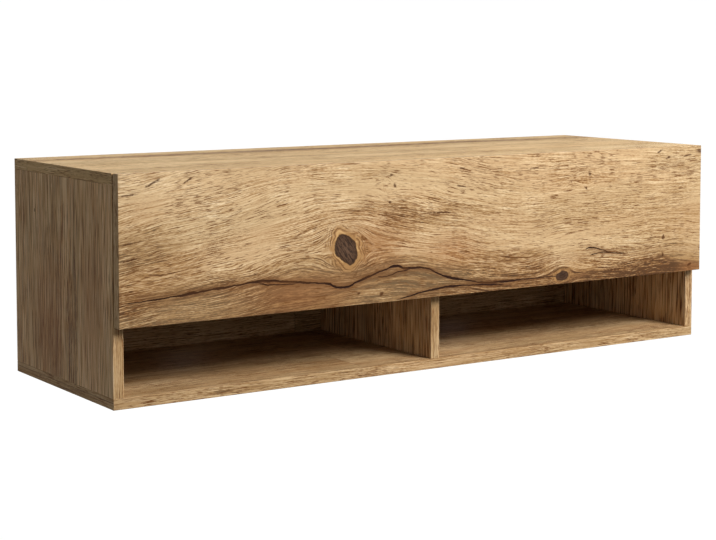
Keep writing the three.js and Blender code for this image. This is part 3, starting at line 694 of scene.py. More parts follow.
    def tone(self, plank_tone: Value) -> Socket:
        """Adds up the print's shades, from 0, the palest, to 1, the darkest.

        Args:
            plank_tone: The plank's own tone.

        Returns:
            The tone.
        """
        oak = self.oak
        centred = self.add("Math", plank_tone, 0.5, operation="SUBTRACT")
        tone = self.add("Math", centred, oak.plank_contrast, oak.base_tone, operation="MULTIPLY_ADD")
        rough = self.noise(self.sheet, ROUGH_PATCHES)
        rough = self.add("MapRange", rough, *ROUGH_SHARE)
        for number, layer in enumerate(oak.streaks):
            shift = STREAK_SHIFT + STREAK_STEP * number
            sizes = Noise(layer.length, layer.width, layer.detail, shift, layer.roughness)
            centred = self.add("Math", self.noise(self.along, sizes), 0.5, operation="SUBTRACT")
            if layer.patchy:
                centred = self.add("Math", centred, rough, operation="MULTIPLY")
            tone = self.add("Math", centred, layer.weight, tone, operation="MULTIPLY_ADD")
        if oak.shades:
            tone = self.shade(tone)
        if oak.heartwood:
            line = self.curve(oak.cracks[0].points)
            below = self.add("Math", self.v, line, operation="SUBTRACT")
            below = self.add("MapRange", below, *HEARTWOOD_EDGE, oak.heartwood, 0.0, **SMOOTH)
            tone = self.add("Math", below, tone, operation="ADD")
        return tone

    def shade(self, tone: Socket) -> Socket:
        """Shades the tone in patches, which fine scratches make uneven.

        Args:
            tone: The tone so far.

        Returns:
            The tone with its patches.
        """
        torn = self.noise(self.along, TORN_EDGES)
        torn = self.add("Math", torn, TEAR, -TEAR / 2, operation="MULTIPLY_ADD")
        shaded: Value = 0.0
        for shade in self.oak.shades:
            _, near = self.reach(shade)
            near = self.add("Math", near, torn, operation="ADD")
            near = self.add("MapRange", near, *SHADE_SHARE, **SMOOTH)
            shaded = self.add("Math", near, shade.weight, shaded, operation="MULTIPLY_ADD")
        scratch = self.noise(self.along, SCRATCHES)
        contrast = (SCRATCH_CONTRAST, 1 - SCRATCH_CONTRAST / 2)
        scratch = self.add("Math", scratch, *contrast, operation="MULTIPLY_ADD")
        return self.add("Math", shaded, scratch, tone, operation="MULTIPLY_ADD")

    def tint(self, colour: Socket) -> Socket:
        """Cools the print in long faint patches and warms it in the oak's own soft ovals.

        Args:
            colour: The print so far.

        Returns:
            The print with its patches.
        """
        cool = self.noise(self.along, COOL_PATCHES)
        cool = self.add("MapRange", cool, *COOL_SHARE, **SMOOTH)
        colour = self.add("Mix", cool, colour, self.oak.cool_colour, **COLOUR)
        for blush in self.oak.blushes:
            _, near = self.reach(blush)
            warm = self.add("MapRange", near, *BLUSH_SHARE, **SMOOTH)
            colour = self.add("Mix", warm, colour, self.oak.blush_colour, **COLOUR)
        return colour

    def strokes(self) -> Value:
        """Draws the short dark checks, denser in some patches than in others.
        """
        drawn: Value = 0.0
        for number, layer in enumerate(self.oak.strokes):
            step = STROKE_STEP * number
            patches = Noise(DENSE_LENGTH, DENSE_WIDTH, 2.0, DENSITY_SHIFT + step)
            density = self.noise(self.sheet, patches)
            check = self.noise(self.along, Noise(layer.length, layer.width, 1.0, STROKE_SHIFT + step))
            check = self.add("Math", density, layer.patchiness, check, operation="MULTIPLY_ADD")
            level = layer.level + layer.patchiness / 2
            limits = Step(level + STROKE_START, level + STROKE_END, 0.0, layer.strength)
            check = self.add("MapRange", check, *limits, **SMOOTH)
            drawn = self.add("Math", drawn, check, operation="MAXIMUM")
        return drawn

    def draw_knot(self, colour: Socket, knot: Knot) -> Socket:
        """Draws a knot. Its distances are shares of the core's reach, made uneven by noise.

        Args:
            colour: The print so far.
            knot: The knot.

        Returns:
            The print with the knot.
        """
        size = KNOT_PATCH * max(knot.radii)
        local, reach = self.reach(knot)
        uneven = self.noise(self.sheet, Noise(size, size, 3.0, 83.0))
        near = self.add("Math", uneven, KNOT_UNEVEN, reach, operation="MULTIPLY_ADD")
        near = self.add("Math", near, KNOT_UNEVEN / 2, operation="SUBTRACT")
        uneven = self.noise(self.sheet, Noise(size, size, 1.0, 85.0))
        outside = self.add("MapRange", near, *KNOT_OUTSIDE, **SMOOTH)
        uneven = self.add("Math", uneven, 0.5, operation="SUBTRACT")
        ring = self.add("Math", uneven, outside, near, operation="MULTIPLY_ADD")
        drawn = self.add("Math", ring, 0.5, operation="MULTIPLY")
        drawn = self.add("ValToRGB", drawn, stops=knot.rings())
        grit = self.noise(local, KNOT_GRIT)
        grit = self.add("MapRange", grit, *KNOT_GRIT_SHARE, **SMOOTH)
        core = self.add("MapRange", near, *KNOT_CORE, **SMOOTH)
        grit = self.add("Math", grit, core, operation="MULTIPLY")
        drawn = self.add("Mix", grit, drawn, knot.grit_colour, **COLOUR)
        heart = self.add("MapRange", near, *KNOT_HEART_EDGE, knot.heart, 0.0, **SMOOTH)
        drawn = self.add("Mix", heart, drawn, knot.heart_colour, **COLOUR)
        size = KNOT_BREAK * max(knot.radii)
        broken = self.noise(self.sheet, Noise(size, size, 2.0, 87.0))
        worn = self.add("MapRange", broken, *KNOT_WORN, **SMOOTH)
        outer = self.add("MapRange", ring, *KNOT_RIM, **SMOOTH)
        worn = self.add("Math", worn, outer, operation="MULTIPLY")
        drawn = self.add("Mix", worn, drawn, knot.worn_colour, **COLOUR)
        cover = self.add("MapRange", ring, *KNOT_COVER, **SMOOTH)
        full = self.add("Math", core, KNOT_THIN, 1 - KNOT_THIN, operation="MULTIPLY_ADD")
        cover = self.add("Math", cover, full, operation="MULTIPLY")
        colour = self.add("Mix", cover, colour, drawn, **COLOUR)
        return self.draw_ring_lines(colour, knot, ring, broken)

    def draw_ring_lines(self, colour: Socket, knot: Knot, ring: Socket, broken: Socket) -> Socket:
        """Draws the thin lines round a knot: the crests of a sine of the distance.

        Args:
            colour: The print so far.
            knot: The knot.
            ring: The distance from its middle, 1 at the core's rim.
            broken: Noise that breaks the lines.

        Returns:
            The print with the lines, which start outside the rim and fade out beyond it.
        """
        turns = self.add("Math", ring, KNOT_WAVES, operation="MULTIPLY")
        lines = self.add("Math", turns, operation="SINE")
        lines = self.add("MapRange", lines, *KNOT_LINE, **SMOOTH)
        limits = ((broken, KNOT_LINE_BREAK), (ring, KNOT_LINE_START), (ring, KNOT_LINE_END))
        for value, limit in limits:
            share = self.add("MapRange", value, *limit, **SMOOTH)
            lines = self.add("Math", lines, share, operation="MULTIPLY")
        return self.add("Mix", lines, colour, knot.line_colour, **COLOUR)

    def draw_bud(self, colour: Socket, bud: Bud) -> Socket:
        """Draws an overgrown bud as broken crests of a sine of the distance.

        Args:
            colour: The print so far.
            bud: The bud.

        Returns:
            The print with the bud.
        """
        _, near = self.reach(bud)
        uneven = self.noise(self.sheet, BUD_EDGES)
        near = self.add("Math", uneven, BUD_UNEVEN, near, operation="MULTIPLY_ADD")
        turns = self.add("Math", near, BUD_WAVES, operation="MULTIPLY")
        rim = self.add("Math", turns, operation="SINE")
        rim = self.add("MapRange", rim, *BUD_LINE, **SMOOTH)
        around = self.add("Math", near, BUD_RIM, operation="SUBTRACT")
        around = self.add("Math", around, operation="ABSOLUTE")
        around = self.add("MapRange", around, *BUD_SHARE, **SMOOTH)
        rim = self.add("Math", rim, around, operation="MULTIPLY")
        broken = self.add("MapRange", self.noise(self.sheet, BUD_BREAKS), *BUD_BREAK, **SMOOTH)
        rim = self.add("Math", rim, broken, operation="MULTIPLY")
        return self.add("Mix", rim, colour, self.oak.bud_colour, **COLOUR)

    def dark_marks(self, dark: Value) -> Value:
        """Draws pin knots and gashes.

        Args:
            dark: How dark the plank joints are.

        Returns:
            How dark joints and marks are, from 0 to 1.
        """
        uneven = self.noise(self.sheet, MARK_EDGES)
        for mark in self.oak.marks:
            _, near = self.reach(mark)
            near = self.add("Math", uneven, MARK_UNEVEN, near, operation="MULTIPLY_ADD")
            near = self.add("MapRange", near, *MARK_SHARE, **SMOOTH)
            dark = self.add("Math", dark, near, operation="MAXIMUM")
        return dark

    def crack_masks(self, crack: Crack) -> tuple[Socket, Socket]:
        """Draws a crack's dark gap and the brown stain beside it.

        A point is in the gap if it is nearer to the jagged middle line than half the width there.
        The width comes and goes with noise and runs out at both ends.

        Args:
            crack: The crack.

        Returns:
            The gap and the stain, each from 0 to 1.
        """
        first, last = crack.points[0][0], crack.points[-1][0]
        line = self.curve(crack.points)
        jag = self.noise(self.sheet, CRACK_JAGS)
        away = self.add("Math", self.v, line, operation="SUBTRACT")
        away = self.add("Math", jag, crack.jag, away, operation="MULTIPLY_ADD")
        away = self.add("Math", away, crack.jag / 2, operation="SUBTRACT")
        away = self.add("Math", away, operation="ABSOLUTE")
        opening = self.noise(self.sheet, CRACK_OPENING)
        widths = [share * crack.width for share in CRACK_HALF]
        half = self.add("MapRange", opening, *CRACK_NOISE, *widths)
        taper = crack.taper * (last - first)
        left = self.add("MapRange", self.u, first, first + taper, CRACK_LEFT_END, 1.0)
        right = self.add("MapRange", self.u, last - taper, last, 1.0, CRACK_RIGHT_END)
        ends = self.add("Math", left, right, operation="MULTIPLY")
        half = self.add("Math", half, ends, operation="MULTIPLY")
        past = self.add("Math", away, half, operation="SUBTRACT")
        middle, reach = (first + last) / 2, (last - first) / 2
        within = self.add("Math", self.u, middle, operation="SUBTRACT")
        within = self.add("Math", within, operation="ABSOLUTE")
        within = self.add("MapRange", within, reach - CRACK_RUN_OUT, reach, 1.0, 0.0, **SMOOTH)
        gap = self.add("MapRange", past, *CRACK_EDGE, **SMOOTH)
        gap = self.add("Math", gap, within, operation="MULTIPLY")
        halo = self.add("MapRange", past, 0.0, crack.halo, crack.halo_strength, 0.0, **SMOOTH)
        halo = self.add("Math", halo, ends, operation="MULTIPLY")
        return gap, halo


@dataclass(frozen=True)
class RawBoard:
    """Raw particleboard or fibreboard, as a saw or drill leaves it: chips in pale glue, dull and dry."""

    name: str
    chip: float
    colours: Stops = ((0.0, "#8f7350"), (0.45, "#b3956c"), (1.0, "#d0b78f"))

    def build(self) -> bpy.types.Material:
        """Builds the material.

        Returns:
            The finished material.
        """
        material, graph = new_material(self.name)
        place = graph.add("TexCoord", output="Object")
        chips = graph.add("TexVoronoi", place, 1 / (self.chip * MM), output="Color")
        shade = graph.add("SeparateColor", chips)
        fine = graph.add("TexNoise", place, 3 / (self.chip * MM), 3.0)
        both = graph.add("Math", shade, 0.5, operation="MULTIPLY")
        both = graph.add("Math", fine, 0.5, both, operation="MULTIPLY_ADD")
        colour = graph.add("ValToRGB", both, stops=self.colours)
        graph.finish({"Base Color": colour, "Roughness": 0.85}, both, depth_mm=0.25)
        return material


@dataclass(frozen=True)
class Metal:
    """A plated or cast metal. Slow blotches and a fine grit break up its reflection.

    Attributes:
        grit: Size of the surface's grain in millimetres, drawn coarse enough to show.
        grit_depth: Its depth in millimetres.
        spangle: Size of zinc crystals in millimetres, or 0 for a metal without them.
        blotch: Size of the blotches on such a metal, in millimetres.
    """

    name: str
    colour: str
    dull_colour: str
    roughness: float
    grit: float
    grit_depth: float
    spangle: float = 0.0
    blotch: float = 9.0

    def build(self) -> bpy.types.Material:
        """Builds the material.

        Returns:
            The finished material.
        """
        material, graph = new_material(self.name)
        place = graph.add("TexCoord", output="Object")
        if self.spangle:
            crystal = graph.add("TexVoronoi", place, 1 / (self.spangle * MM), output="Color")
            blotch = graph.add("SeparateColor", crystal)
        else:
            blotch = graph.add("TexNoise", place, 1 / (self.blotch * MM), 3.0)
        colour = graph.add("Mix", blotch, self.colour, self.dull_colour, **COLOUR)
        rough = graph.add("Math", blotch, 0.14, self.roughness - 0.07, operation="MULTIPLY_ADD")
        grit = graph.add("TexNoise", place, 1 / (self.grit * MM), 2.0)
        values = {"Base Color": colour, "Metallic": 1.0, "Roughness": rough}
        graph.finish(values, grit, depth_mm=self.grit_depth)
        return material


@dataclass(frozen=True)
class MouldedPlastic:
    """Moulded nylon or acetal with a spark-eroded tool finish: a fine even grain and a soft highlight.

    Attributes:
        grain: Size of that grain in millimetres, drawn coarse enough to show.
        flow: Size of the faint clouds that the flow of the melt leaves, in millimetres.
    """

    name: str
    colour: str
    shade_colour: str
    grain: float = 0.6
    flow: float = 14.0
    roughness: float = 0.42

    def build(self) -> bpy.types.Material:
        """Builds the material.

        Returns:
            The finished material.
        """
        material, graph = new_material(self.name)
        place = graph.add("TexCoord", output="Object")
        grain = graph.add("TexNoise", place, 1 / (self.grain * MM), 2.0)
        flow = graph.add("TexNoise", place, 1 / (self.flow * MM), 2.0)
        colour = graph.add("Mix", flow, self.colour, self.shade_colour, **COLOUR)
        rough = graph.add("Math", grain, 0.12, self.roughness - 0.06, operation="MULTIPLY_ADD")
        graph.finish({"Base Color": colour, "Roughness": rough}, grain, depth_mm=0.03)
        return material


@dataclass(frozen=True)
class Beech:
    """Turned beech: pale pink-brown wood with the short dark flecks that beech shows along its length."""

    name: str = "beech_turned"
    fleck_length: float = 3.0
    fleck_width: float = 0.5
    tones: Stops = ((0.3, "#d9b98e"), (0.6, "#cfaa7c"), (0.75, "#b1875a"))

    def build(self) -> bpy.types.Material:
        """Builds the material.

        Returns:
            The finished material.
        """
        material, graph = new_material(self.name)
        place = graph.add("TexCoord", output="Object")
        across, length = 1 / (self.fleck_width * MM), 1 / (self.fleck_length * MM)
        sized = graph.add("Mapping", place, named={"Scale": (across, across, length)})
        fleck = graph.add("TexNoise", sized, 1.0, 2.0)
        colour = graph.add("ValToRGB", fleck, stops=self.tones)
        graph.finish({"Base Color": colour, "Roughness": 0.62}, fleck, depth_mm=0.05)
        return material


FLAP_CRACK = Crack(
    points=(
        (-540.0, -123.5), (-517.0, -122.5), (-471.0, -120.0), (-423.0, -116.0), (-375.0, -112.5),
        (-322.0, -109.5), (-284.0, -113.0), (-241.0, -118.0), (-206.0, -122.5), (-183.0, -129.5),
        (-161.0, -124.0), (-131.0, -115.0), (-102.0, -107.5), (-87.0, -104.5), (-70.0, -110.0),
        (-42.0, -110.5), (-12.0, -121.0), (10.0, -129.0), (49.0, -137.0), (107.0, -145.0),
        (180.0, -144.0), (232.0, -145.5),
    ),
    width=3.0,
    pressed=True,
)
FLAP_BRANCH = Crack(
    points=(
        (-90.0, -157.0), (-54.0, -151.0), (-20.0, -146.5), (22.0, -144.0), (64.0, -145.5), (125.0, -150.0),
    ),
    width=2.4,
)
FLAP_LOOP = Crack(
    points=((-124.0, -117.0), (-110.0, -119.0), (-96.0, -117.0), (-82.0, -113.5), (-62.0, -112.5)),
    width=1.5,
)
FLAP_SPLINTER = Crack(
    points=((-330.0, -111.5), (-310.0, -115.0), (-290.0, -116.5), (-262.0, -117.5)),
    width=1.4,
)
FLAP_CURL = Crack(
    points=((288.0, -112.0), (298.0, -103.5), (327.0, -109.0), (348.0, -114.5), (380.0, -118.0)),
    width=1.7,
)
FLAP_UNDER_CURL = Crack(points=((298.0, -117.0), (324.0, -113.0), (350.0, -118.5)), width=1.2)
FLAP_OAK = WildOak(
    name="wild_oak_front",
    streaks=(
        Streaks(540.0, 42.0, 2.0, 0.24),
        Streaks(300.0, 4.5, 3.0, 0.17, 0.6),
        Streaks(130.0, 2.0, 1.0, 0.26),
        Streaks(52.0, 1.1, 1.0, 0.9, patchy=True),
        Streaks(6.0, 1.2, 1.0, 0.42, patchy=True),
    ),
    wave_height=24.0,
    bow=(
        (-550.0, 0.0), (-350.0, 26.0), (-170.0, 40.0), (0.0, 27.0), (150.0, 10.0), (300.0, 6.0),
        (550.0, 0.0),
    ),
    heartwood=0.3,
    knots=(
        Knot((-177.0, -72.5), (25.0, 17.5), -54.0),
        Knot((242.0, -145.0), (13.0, 8.0), 8.0, ring_colour="#6d4f34", heart=0.75),
    ),
    buds=(Bud((-101.0, 17.0), (7.5, 11.0), 12.0), Bud((289.0, 10.0), (7.0, 10.5), 10.0)),
    marks=(
        Oval((-496.0, 41.5), (14.0, 2.3), 27.0),
        Oval((-441.5, 42.5), (12.0, 1.8), 29.0),
        Oval((-95.5, 34.0), (3.4, 2.6)),
        Oval((-89.0, 18.5), (3.6, 4.4)),
        Oval((-98.0, -6.5), (3.6, 2.7)),
        Oval((-155.0, -141.0), (4.0, 3.0)),
        Oval((-114.0, -145.0), (5.0, 4.0)),
        Oval((298.5, 18.5), (4.2, 3.6), -60.0),
        Oval((290.0, -4.0), (4.6, 2.2), -35.0),
        Oval((463.0, -96.0), (4.0, 6.0)),
        Oval((462.5, -126.0), (3.0, 4.6)),
        Oval((524.0, -147.0), (6.0, 3.0), 20.0),
        Oval((453.0, 49.0), (9.0, 2.2), 24.0),
        Oval((473.0, 38.0), (7.0, 2.4), 12.0),
        Oval((516.0, 40.0), (13.0, 1.8), 8.0),
        Oval((37.0, 39.0), (9.0, 1.6), -4.0),
        Oval((-2.0, -28.0), (26.0, 1.8), -3.0),
        Oval((36.0, 11.0), (14.0, 1.5), -10.0),
        Oval((183.0, 33.0), (10.0, 1.5), 2.0),
        Oval((356.0, -143.0), (26.0, 1.8), -1.0),
        Oval((-534.0, 26.0), (16.0, 1.6), 4.0),
        Oval((-534.0, -41.0), (17.0, 1.7), 7.0),
        Oval((-531.0, -63.5), (19.0, 1.7), 10.0),
        Oval((545.0, 47.0), (8.0, 4.2)),
    ),
    shades=(
        Shade((-165.0, -80.0), (150.0, 75.0)),
        Shade((400.0, -160.0), (260.0, 62.0), weight=0.22),
        Shade((440.0, -125.0), (100.0, 60.0), weight=0.15),
        Shade((500.0, -90.0), (120.0, 70.0), weight=0.12),
        Shade((-260.0, -120.0), (240.0, 50.0), weight=0.2),
        Shade((60.0, -120.0), (230.0, 60.0)),
        Shade((-520.0, -60.0), (130.0, 110.0), weight=0.27),
        Shade((-30.0, -25.0), (160.0, 40.0), weight=0.16),
        # Painted shade over the middle and right of the front, and painted light at its upper left, even
        # out the lamp's light across it.
        Shade((300.0, -30.0), (420.0, 100.0), weight=0.09),
        Shade((-470.0, 35.0), (200.0, 70.0), weight=-0.12),
    ),
    blushes=(
        Oval((-125.0, -70.0), (110.0, 70.0)),
        Oval((-260.0, -128.0), (170.0, 40.0)),
        Oval((20.0, -85.0), (90.0, 45.0)),
        Oval((530.0, -155.0), (50.0, 25.0)),
    ),
    cracks=(FLAP_CRACK, FLAP_BRANCH, FLAP_LOOP, FLAP_SPLINTER, FLAP_CURL, FLAP_UNDER_CURL),
)
TOP_OAK = WildOak(
    name="wild_oak_top",
    tones=("#f0d6aa", "#e0c192", "#ccaa79", "#b89466", "#9b7446", "#775331", "#4f351d"),
    base_tone=0.36,
    wave_height=12.0,
    ripple_height=3.0,
    plank_width=118.0,
    plank_length=1500.0,
    shades=(
        Shade((2050.0, 1634.0), (1500.0, 36.0), weight=0.34),
        Shade((1760.0, 1630.0), (620.0, 22.0)),
        Shade((2400.0, 1637.0), (560.0, 24.0)),
        Shade((1900.0, 1500.0), (420.0, 16.0), weight=0.16),
        Shade((2380.0, 1440.0), (460.0, 14.0), weight=0.16),
    ),
)
# Painted shade: its middle tone is darker than the top's, standing in for the shade inside the niches on
# the bottom panel, the shelf and the back panel.
SHADED_LENGTHWISE_OAK = WildOak(
    name="wild_oak_lengthwise_painted_shade",
    base_tone=0.65,
    wave_height=12.0,
    ripple_height=3.0,
    plank_width=118.0,
    plank_length=1500.0,
)
UPRIGHT_OAK = WildOak(
    name="wild_oak_upright",
    tones=("#f2d3a8", "#e3be8f", "#d2a977", "#bd8f61", "#9a6c41", "#744a2b", "#4c2e19"),
    base_tone=0.405,
    blushes=(Oval((8215.0, 6680.0), (170.0, 110.0)), Oval((8250.0, 6525.0), (210.0, 55.0))),
    streaks=(
        Streaks(540.0, 42.0, 2.0, 0.6),
        Streaks(420.0, 4.0, 4.0, 0.7, 0.66),
        Streaks(190.0, 1.6, 1.0, 1.9),
        Streaks(60.0, 1.3, 1.0, 2.3),
    ),
    strokes=(Strokes(34.0, 1.2, 0.7, 0.85, 0.4),),
    wave_height=9.0,
    ripple_height=2.0,
    plank_width=188.0,
    plank_length=1400.0,
    shades=(
        Shade((8255.0, 6579.0), (95.0, 7.0)),
        Shade((8240.0, 6581.0), (120.0, 5.0)),
        Shade((8250.0, 6590.0), (170.0, 30.0)),
        Shade((8310.0, 6640.0), (70.0, 40.0)),
        Shade((8190.0, 6660.0), (120.0, 80.0)),
    ),
    marks=(Oval((8383.0, 6725.0), (4.0, 2.6)),),
)
EDGE_OAK = WildOak(
    name="wild_oak_edge_band",
    base_tone=0.62,
    wave_height=6.0,
    ripple_height=2.0,
)
PARTICLEBOARD = RawBoard("particleboard_sawn", chip=2.6)
FIBREBOARD = RawBoard(
    name="fibreboard_sawn",
    chip=0.8,
    colours=((0.0, "#7a5a3a"), (0.5, "#94704b"), (1.0, "#a8835b")),
)
NICKEL = Metal("nickel_plated_steel", "#cfccc4", "#bbb8b0", 0.36, 0.5, 0.01)
ZINC = Metal("zinc_die_casting", "#a9a8a4", "#8f8e8a", 0.46, 0.4, 0.05)
GALVANISED = Metal("galvanised_sheet", "#b6babc", "#9da2a5", 0.4, 0.8, 0.01, spangle=7.0)


@dataclass
class Finishes:
    """Every material of the console, built once."""

    oak_front: bpy.types.Material = field(default_factory=FLAP_OAK.build)
    oak_shaded_lengthwise: bpy.types.Material = field(default_factory=SHADED_LENGTHWISE_OAK.build)
    oak_top: bpy.types.Material = field(default_factory=TOP_OAK.build)
    oak_edge: bpy.types.Material = field(default_factory=EDGE_OAK.build)
    oak_upright: bpy.types.Material = field(default_factory=UPRIGHT_OAK.build)
    particleboard: bpy.types.Material = field(default_factory=PARTICLEBOARD.build)
    fibreboard: bpy.types.Material = field(default_factory=FIBREBOARD.build)
    # Nickel plate gives the eye a warm satin mirror, cast zinc a dull grey skin, and
    # galvanised sheet its large crystals.
    nickel: bpy.types.Material = field(default_factory=NICKEL.build)
    zinc: bpy.types.Material = field(default_factory=ZINC.build)
    galvanised: bpy.types.Material = field(default_factory=GALVANISED.build)
    grey_plastic: bpy.types.Material = field(
        default_factory=MouldedPlastic("grey_acetal", "#8e9092", "#838587").build
    )
    white_plastic: bpy.types.Material = field(
        default_factory=MouldedPlastic("white_nylon", "#e2e0da", "#d8d6cf").build
    )
    black_plastic: bpy.types.Material = field(
        default_factory=MouldedPlastic("black_acetal", "#2c2d2f", "#252628").build
    )
    beech: bpy.types.Material = field(default_factory=Beech().build)


class Direction(Enum):
    """The way that a board's grain runs, as the number of its axis."""

    LENGTHWISE = 0
    UPRIGHT = 2


class Face(Enum):
    """A side of a board: the number of its axis times 2, plus 1 if it faces up that axis."""

    LEFT = 0
    RIGHT = 1
    FRONT = 2
    UNDERSIDE = 4
    TOP = 5


def read(items: bpy.types.bpy_prop_collection, name: str, width: int = 0) -> np.ndarray:
    """Reads one property of every point, corner or face of a mesh.

    Args:
        items: The mesh's points, corners or faces.
        name: The property.
        width: How many numbers it has, or 0 if it is one whole number.

    Returns:
        A row for each item, or a whole number for each.
    """
    values = np.empty(len(items) * max(width, 1), float if width else int)
    items.foreach_get(name, values)
    return values.reshape(-1, width) if width else values


def lay_grain(mesh: bpy.types.Mesh, direction: Direction, shown: Face, sheet: int) -> None:
    """Lays the printed sheet on a board, as a UV map in metres.

    Each face reads the two coordinates that lie in it: the one along the board's grain first,
    and on an end, which is banded by itself, the one along the band first. Every face but the
    one that shows reads its own stretch of the print, well away from the next.

    Args:
        mesh: The board's mesh.
        direction: The way that its grain runs.
        shown: The face that reads the sheet from its own coordinates.
        sheet: Number of the board's own stretch of the print.
    """
    face_step, sheet_step = np.array([0.73, 3.0]), np.array([2.1, 1.7])
    normals, places = read(mesh.polygons, "normal", 3), read(mesh.vertices, "co", 3)
    corners, totals = read(mesh.loops, "vertex_index"), read(mesh.polygons, "loop_total")
    axis = np.abs(normals).argmax(1)
    facing = axis * 2 + (normals[np.arange(len(axis)), axis] > 0)
    length = places.max(0) - places.min(0)
    length[direction.value] = np.inf
    others = np.array([[1, 2], [0, 2], [0, 1]])
    swap = length[others[:, 1]] > length[others[:, 0]]
    order = np.where(swap[:, None], others[:, ::-1], others)
    axes = np.repeat(order[axis], totals, axis=0)
    step = np.repeat((facing - shown.value) % 6, totals)
    uv = np.take_along_axis(places[corners], axes, axis=1) + step[:, None] * face_step + sheet * sheet_step
    layer = mesh.uv_layers.new(name=GRAIN_MAP)
    layer.data.foreach_set("uv", uv.astype(np.float32).ravel())


def merged_copy(node: str, frame: Frame) -> bmesh.types.BMesh:
    """Copies a CAD node's mesh with its doubles merged and its flat faces whole.

    Args:
        node: The node's name.

    Returns:
        The copy, which the caller frees.
    """
    copy = bmesh.new()
    copy.from_mesh(frame["nodes"][node].data)
    bmesh.ops.remove_doubles(copy, verts=copy.verts, dist=WELD)
    bmesh.ops.dissolve_limit(copy, angle_limit=FLAT_ANGLE, verts=copy.verts, edges=copy.edges)
    return copy


def eased_mesh(
    name: str,
    copy: bmesh.types.BMesh,
    edges: list[bmesh.types.BMEdge],
    ease: float,
    segments: int,
    clamp: bool,
) -> bpy.types.Mesh:
    """Rounds edges of a copy, makes it a mesh and frees the copy.

    Args:
        name: The mesh's name.
        copy: The copy.
        edges: The edges to round.
        ease: How much they lose on each side, in millimetres.
        segments: Facets of the rounding.
        clamp: Whether a rounding gives way to the next.

    Returns:
        The mesh.
    """
    rounding = {"offset": ease * MM, "segments": segments, "profile": 0.5, "clamp_overlap": clamp}
    bmesh.ops.bevel(copy, geom=edges, affect="EDGES", **rounding)
    mesh = bpy.data.meshes.new(name)
    copy.to_mesh(mesh)
    copy.free()
    return mesh


def new_object(name: str, mesh: bpy.types.Mesh, materials: list[bpy.types.Material]) -> bpy.types.Object:
    """Puts a mesh into the scene with its materials.

    Args:
        name: The object's name.
        mesh: Its mesh.
        materials: Its materials, in the order of the faces' numbers.

    Returns:
        The object.
    """
    made = bpy.data.objects.new(name, mesh)
    for material in materials:
        made.data.materials.append(material)
    bpy.context.scene.collection.objects.link(made)
    return made


def grid_faces(rows: int, columns: int, closed: bool = False) -> np.ndarray:
    """Numbers the corners of a grid's faces, four to a face.

    Args:
        rows: Rows of points.
        columns: Points in a row.
        closed: Joins the last point of a row to its first.

    Returns:
        The corners, a row for each face.
    """
    number = np.arange(rows * columns).reshape(rows, columns)
    if closed:
        number = np.concatenate([number, number[:, :1]], axis=1)
    corners = [number[:-1, :-1], number[1:, :-1], number[1:, 1:], number[:-1, 1:]]
    return np.stack(corners, axis=-1).reshape(-1, 4)


@dataclass
class Board:
    """A faced board with banded edges: its arrises are eased, and its bores and grooves show raw board.

    Attributes:
        face: The finish of its faces.
        raw: The finish of its bores, its grooves and an unbanded rear edge.
        band: The finish of its front edge.
        shown: The face that shows the print's own drawing.
        sheet: Number of its own stretch of the print.
        raw_rear: Whether its rear edge is unbanded.
        arris: How much its arrises are eased, in millimetres.
    """

    node: str
    face: bpy.types.Material
    raw: bpy.types.Material
    band: bpy.types.Material
    direction: Direction
    shown: Face
    sheet: int
    body: str = "carcass"
    slot: str = "oak_faced_board"
    raw_rear: bool = True
    arris: float = 0.7

    def build(self, frame: Frame) -> bpy.types.Object:
        """Builds the board over its CAD solid.


        Returns:
            The board.
        """
        low, high = (np.array(corner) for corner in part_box(self.node))
        copy = merged_copy(self.node, frame)
        outer = [edge for edge in copy.edges if self.is_arris(edge, low, high)]
        mesh = eased_mesh(self.node + "_board", copy, outer, self.arris, segments=3, clamp=False)
        self.part_faces(mesh, low, high)
        lay_grain(mesh, self.direction, self.shown, self.sheet)
        board = new_object(self.node + "_board", mesh, [self.face, self.raw, self.band])
        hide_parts(self.node)
        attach(board, self.body)
        return board

    def is_arris(self, edge: bmesh.types.BMEdge, low: np.ndarray, high: np.ndarray) -> bool:
        """Tells whether an edge is one of the twelve outer edges of the board's box.

        Args:
            edge: The edge.
            low: The box's lowest corner.
            high: Its highest corner.

        Returns:
            Whether both its ends lie in two of the box's sides.
        """
        ends = np.array([tuple(vertex.co) for vertex in edge.verts])
        near = (np.abs(ends - low) < SAME_PLACE) | (np.abs(ends - high) < SAME_PLACE)
        return int(near.all(0).sum()) >= 2

    def part_faces(self, mesh: bpy.types.Mesh, low: np.ndarray, high: np.ndarray) -> None:
        """Numbers the faces by finish: 0 faced, 1 raw, inside the box or at the rear, 2 banded, in front.

        Args:
            mesh: The board's mesh.
            low: The box's lowest corner.
            high: Its highest corner.
        """
        centres = read(mesh.polygons, "center", 3)
        reach = 1.01 * self.arris * MM
        outside = (centres - low < reach).any(1) | (high - centres < reach).any(1)
        rear = self.raw_rear & (high[1] - centres[:, 1] < SAME_PLACE)
        front = centres[:, 1] - low[1] < SAME_PLACE
        finishes = np.where(~outside | rear, 1, np.where(front, 2, 0)).astype(np.int32)
        mesh.polygons.foreach_set("material_index", finishes)


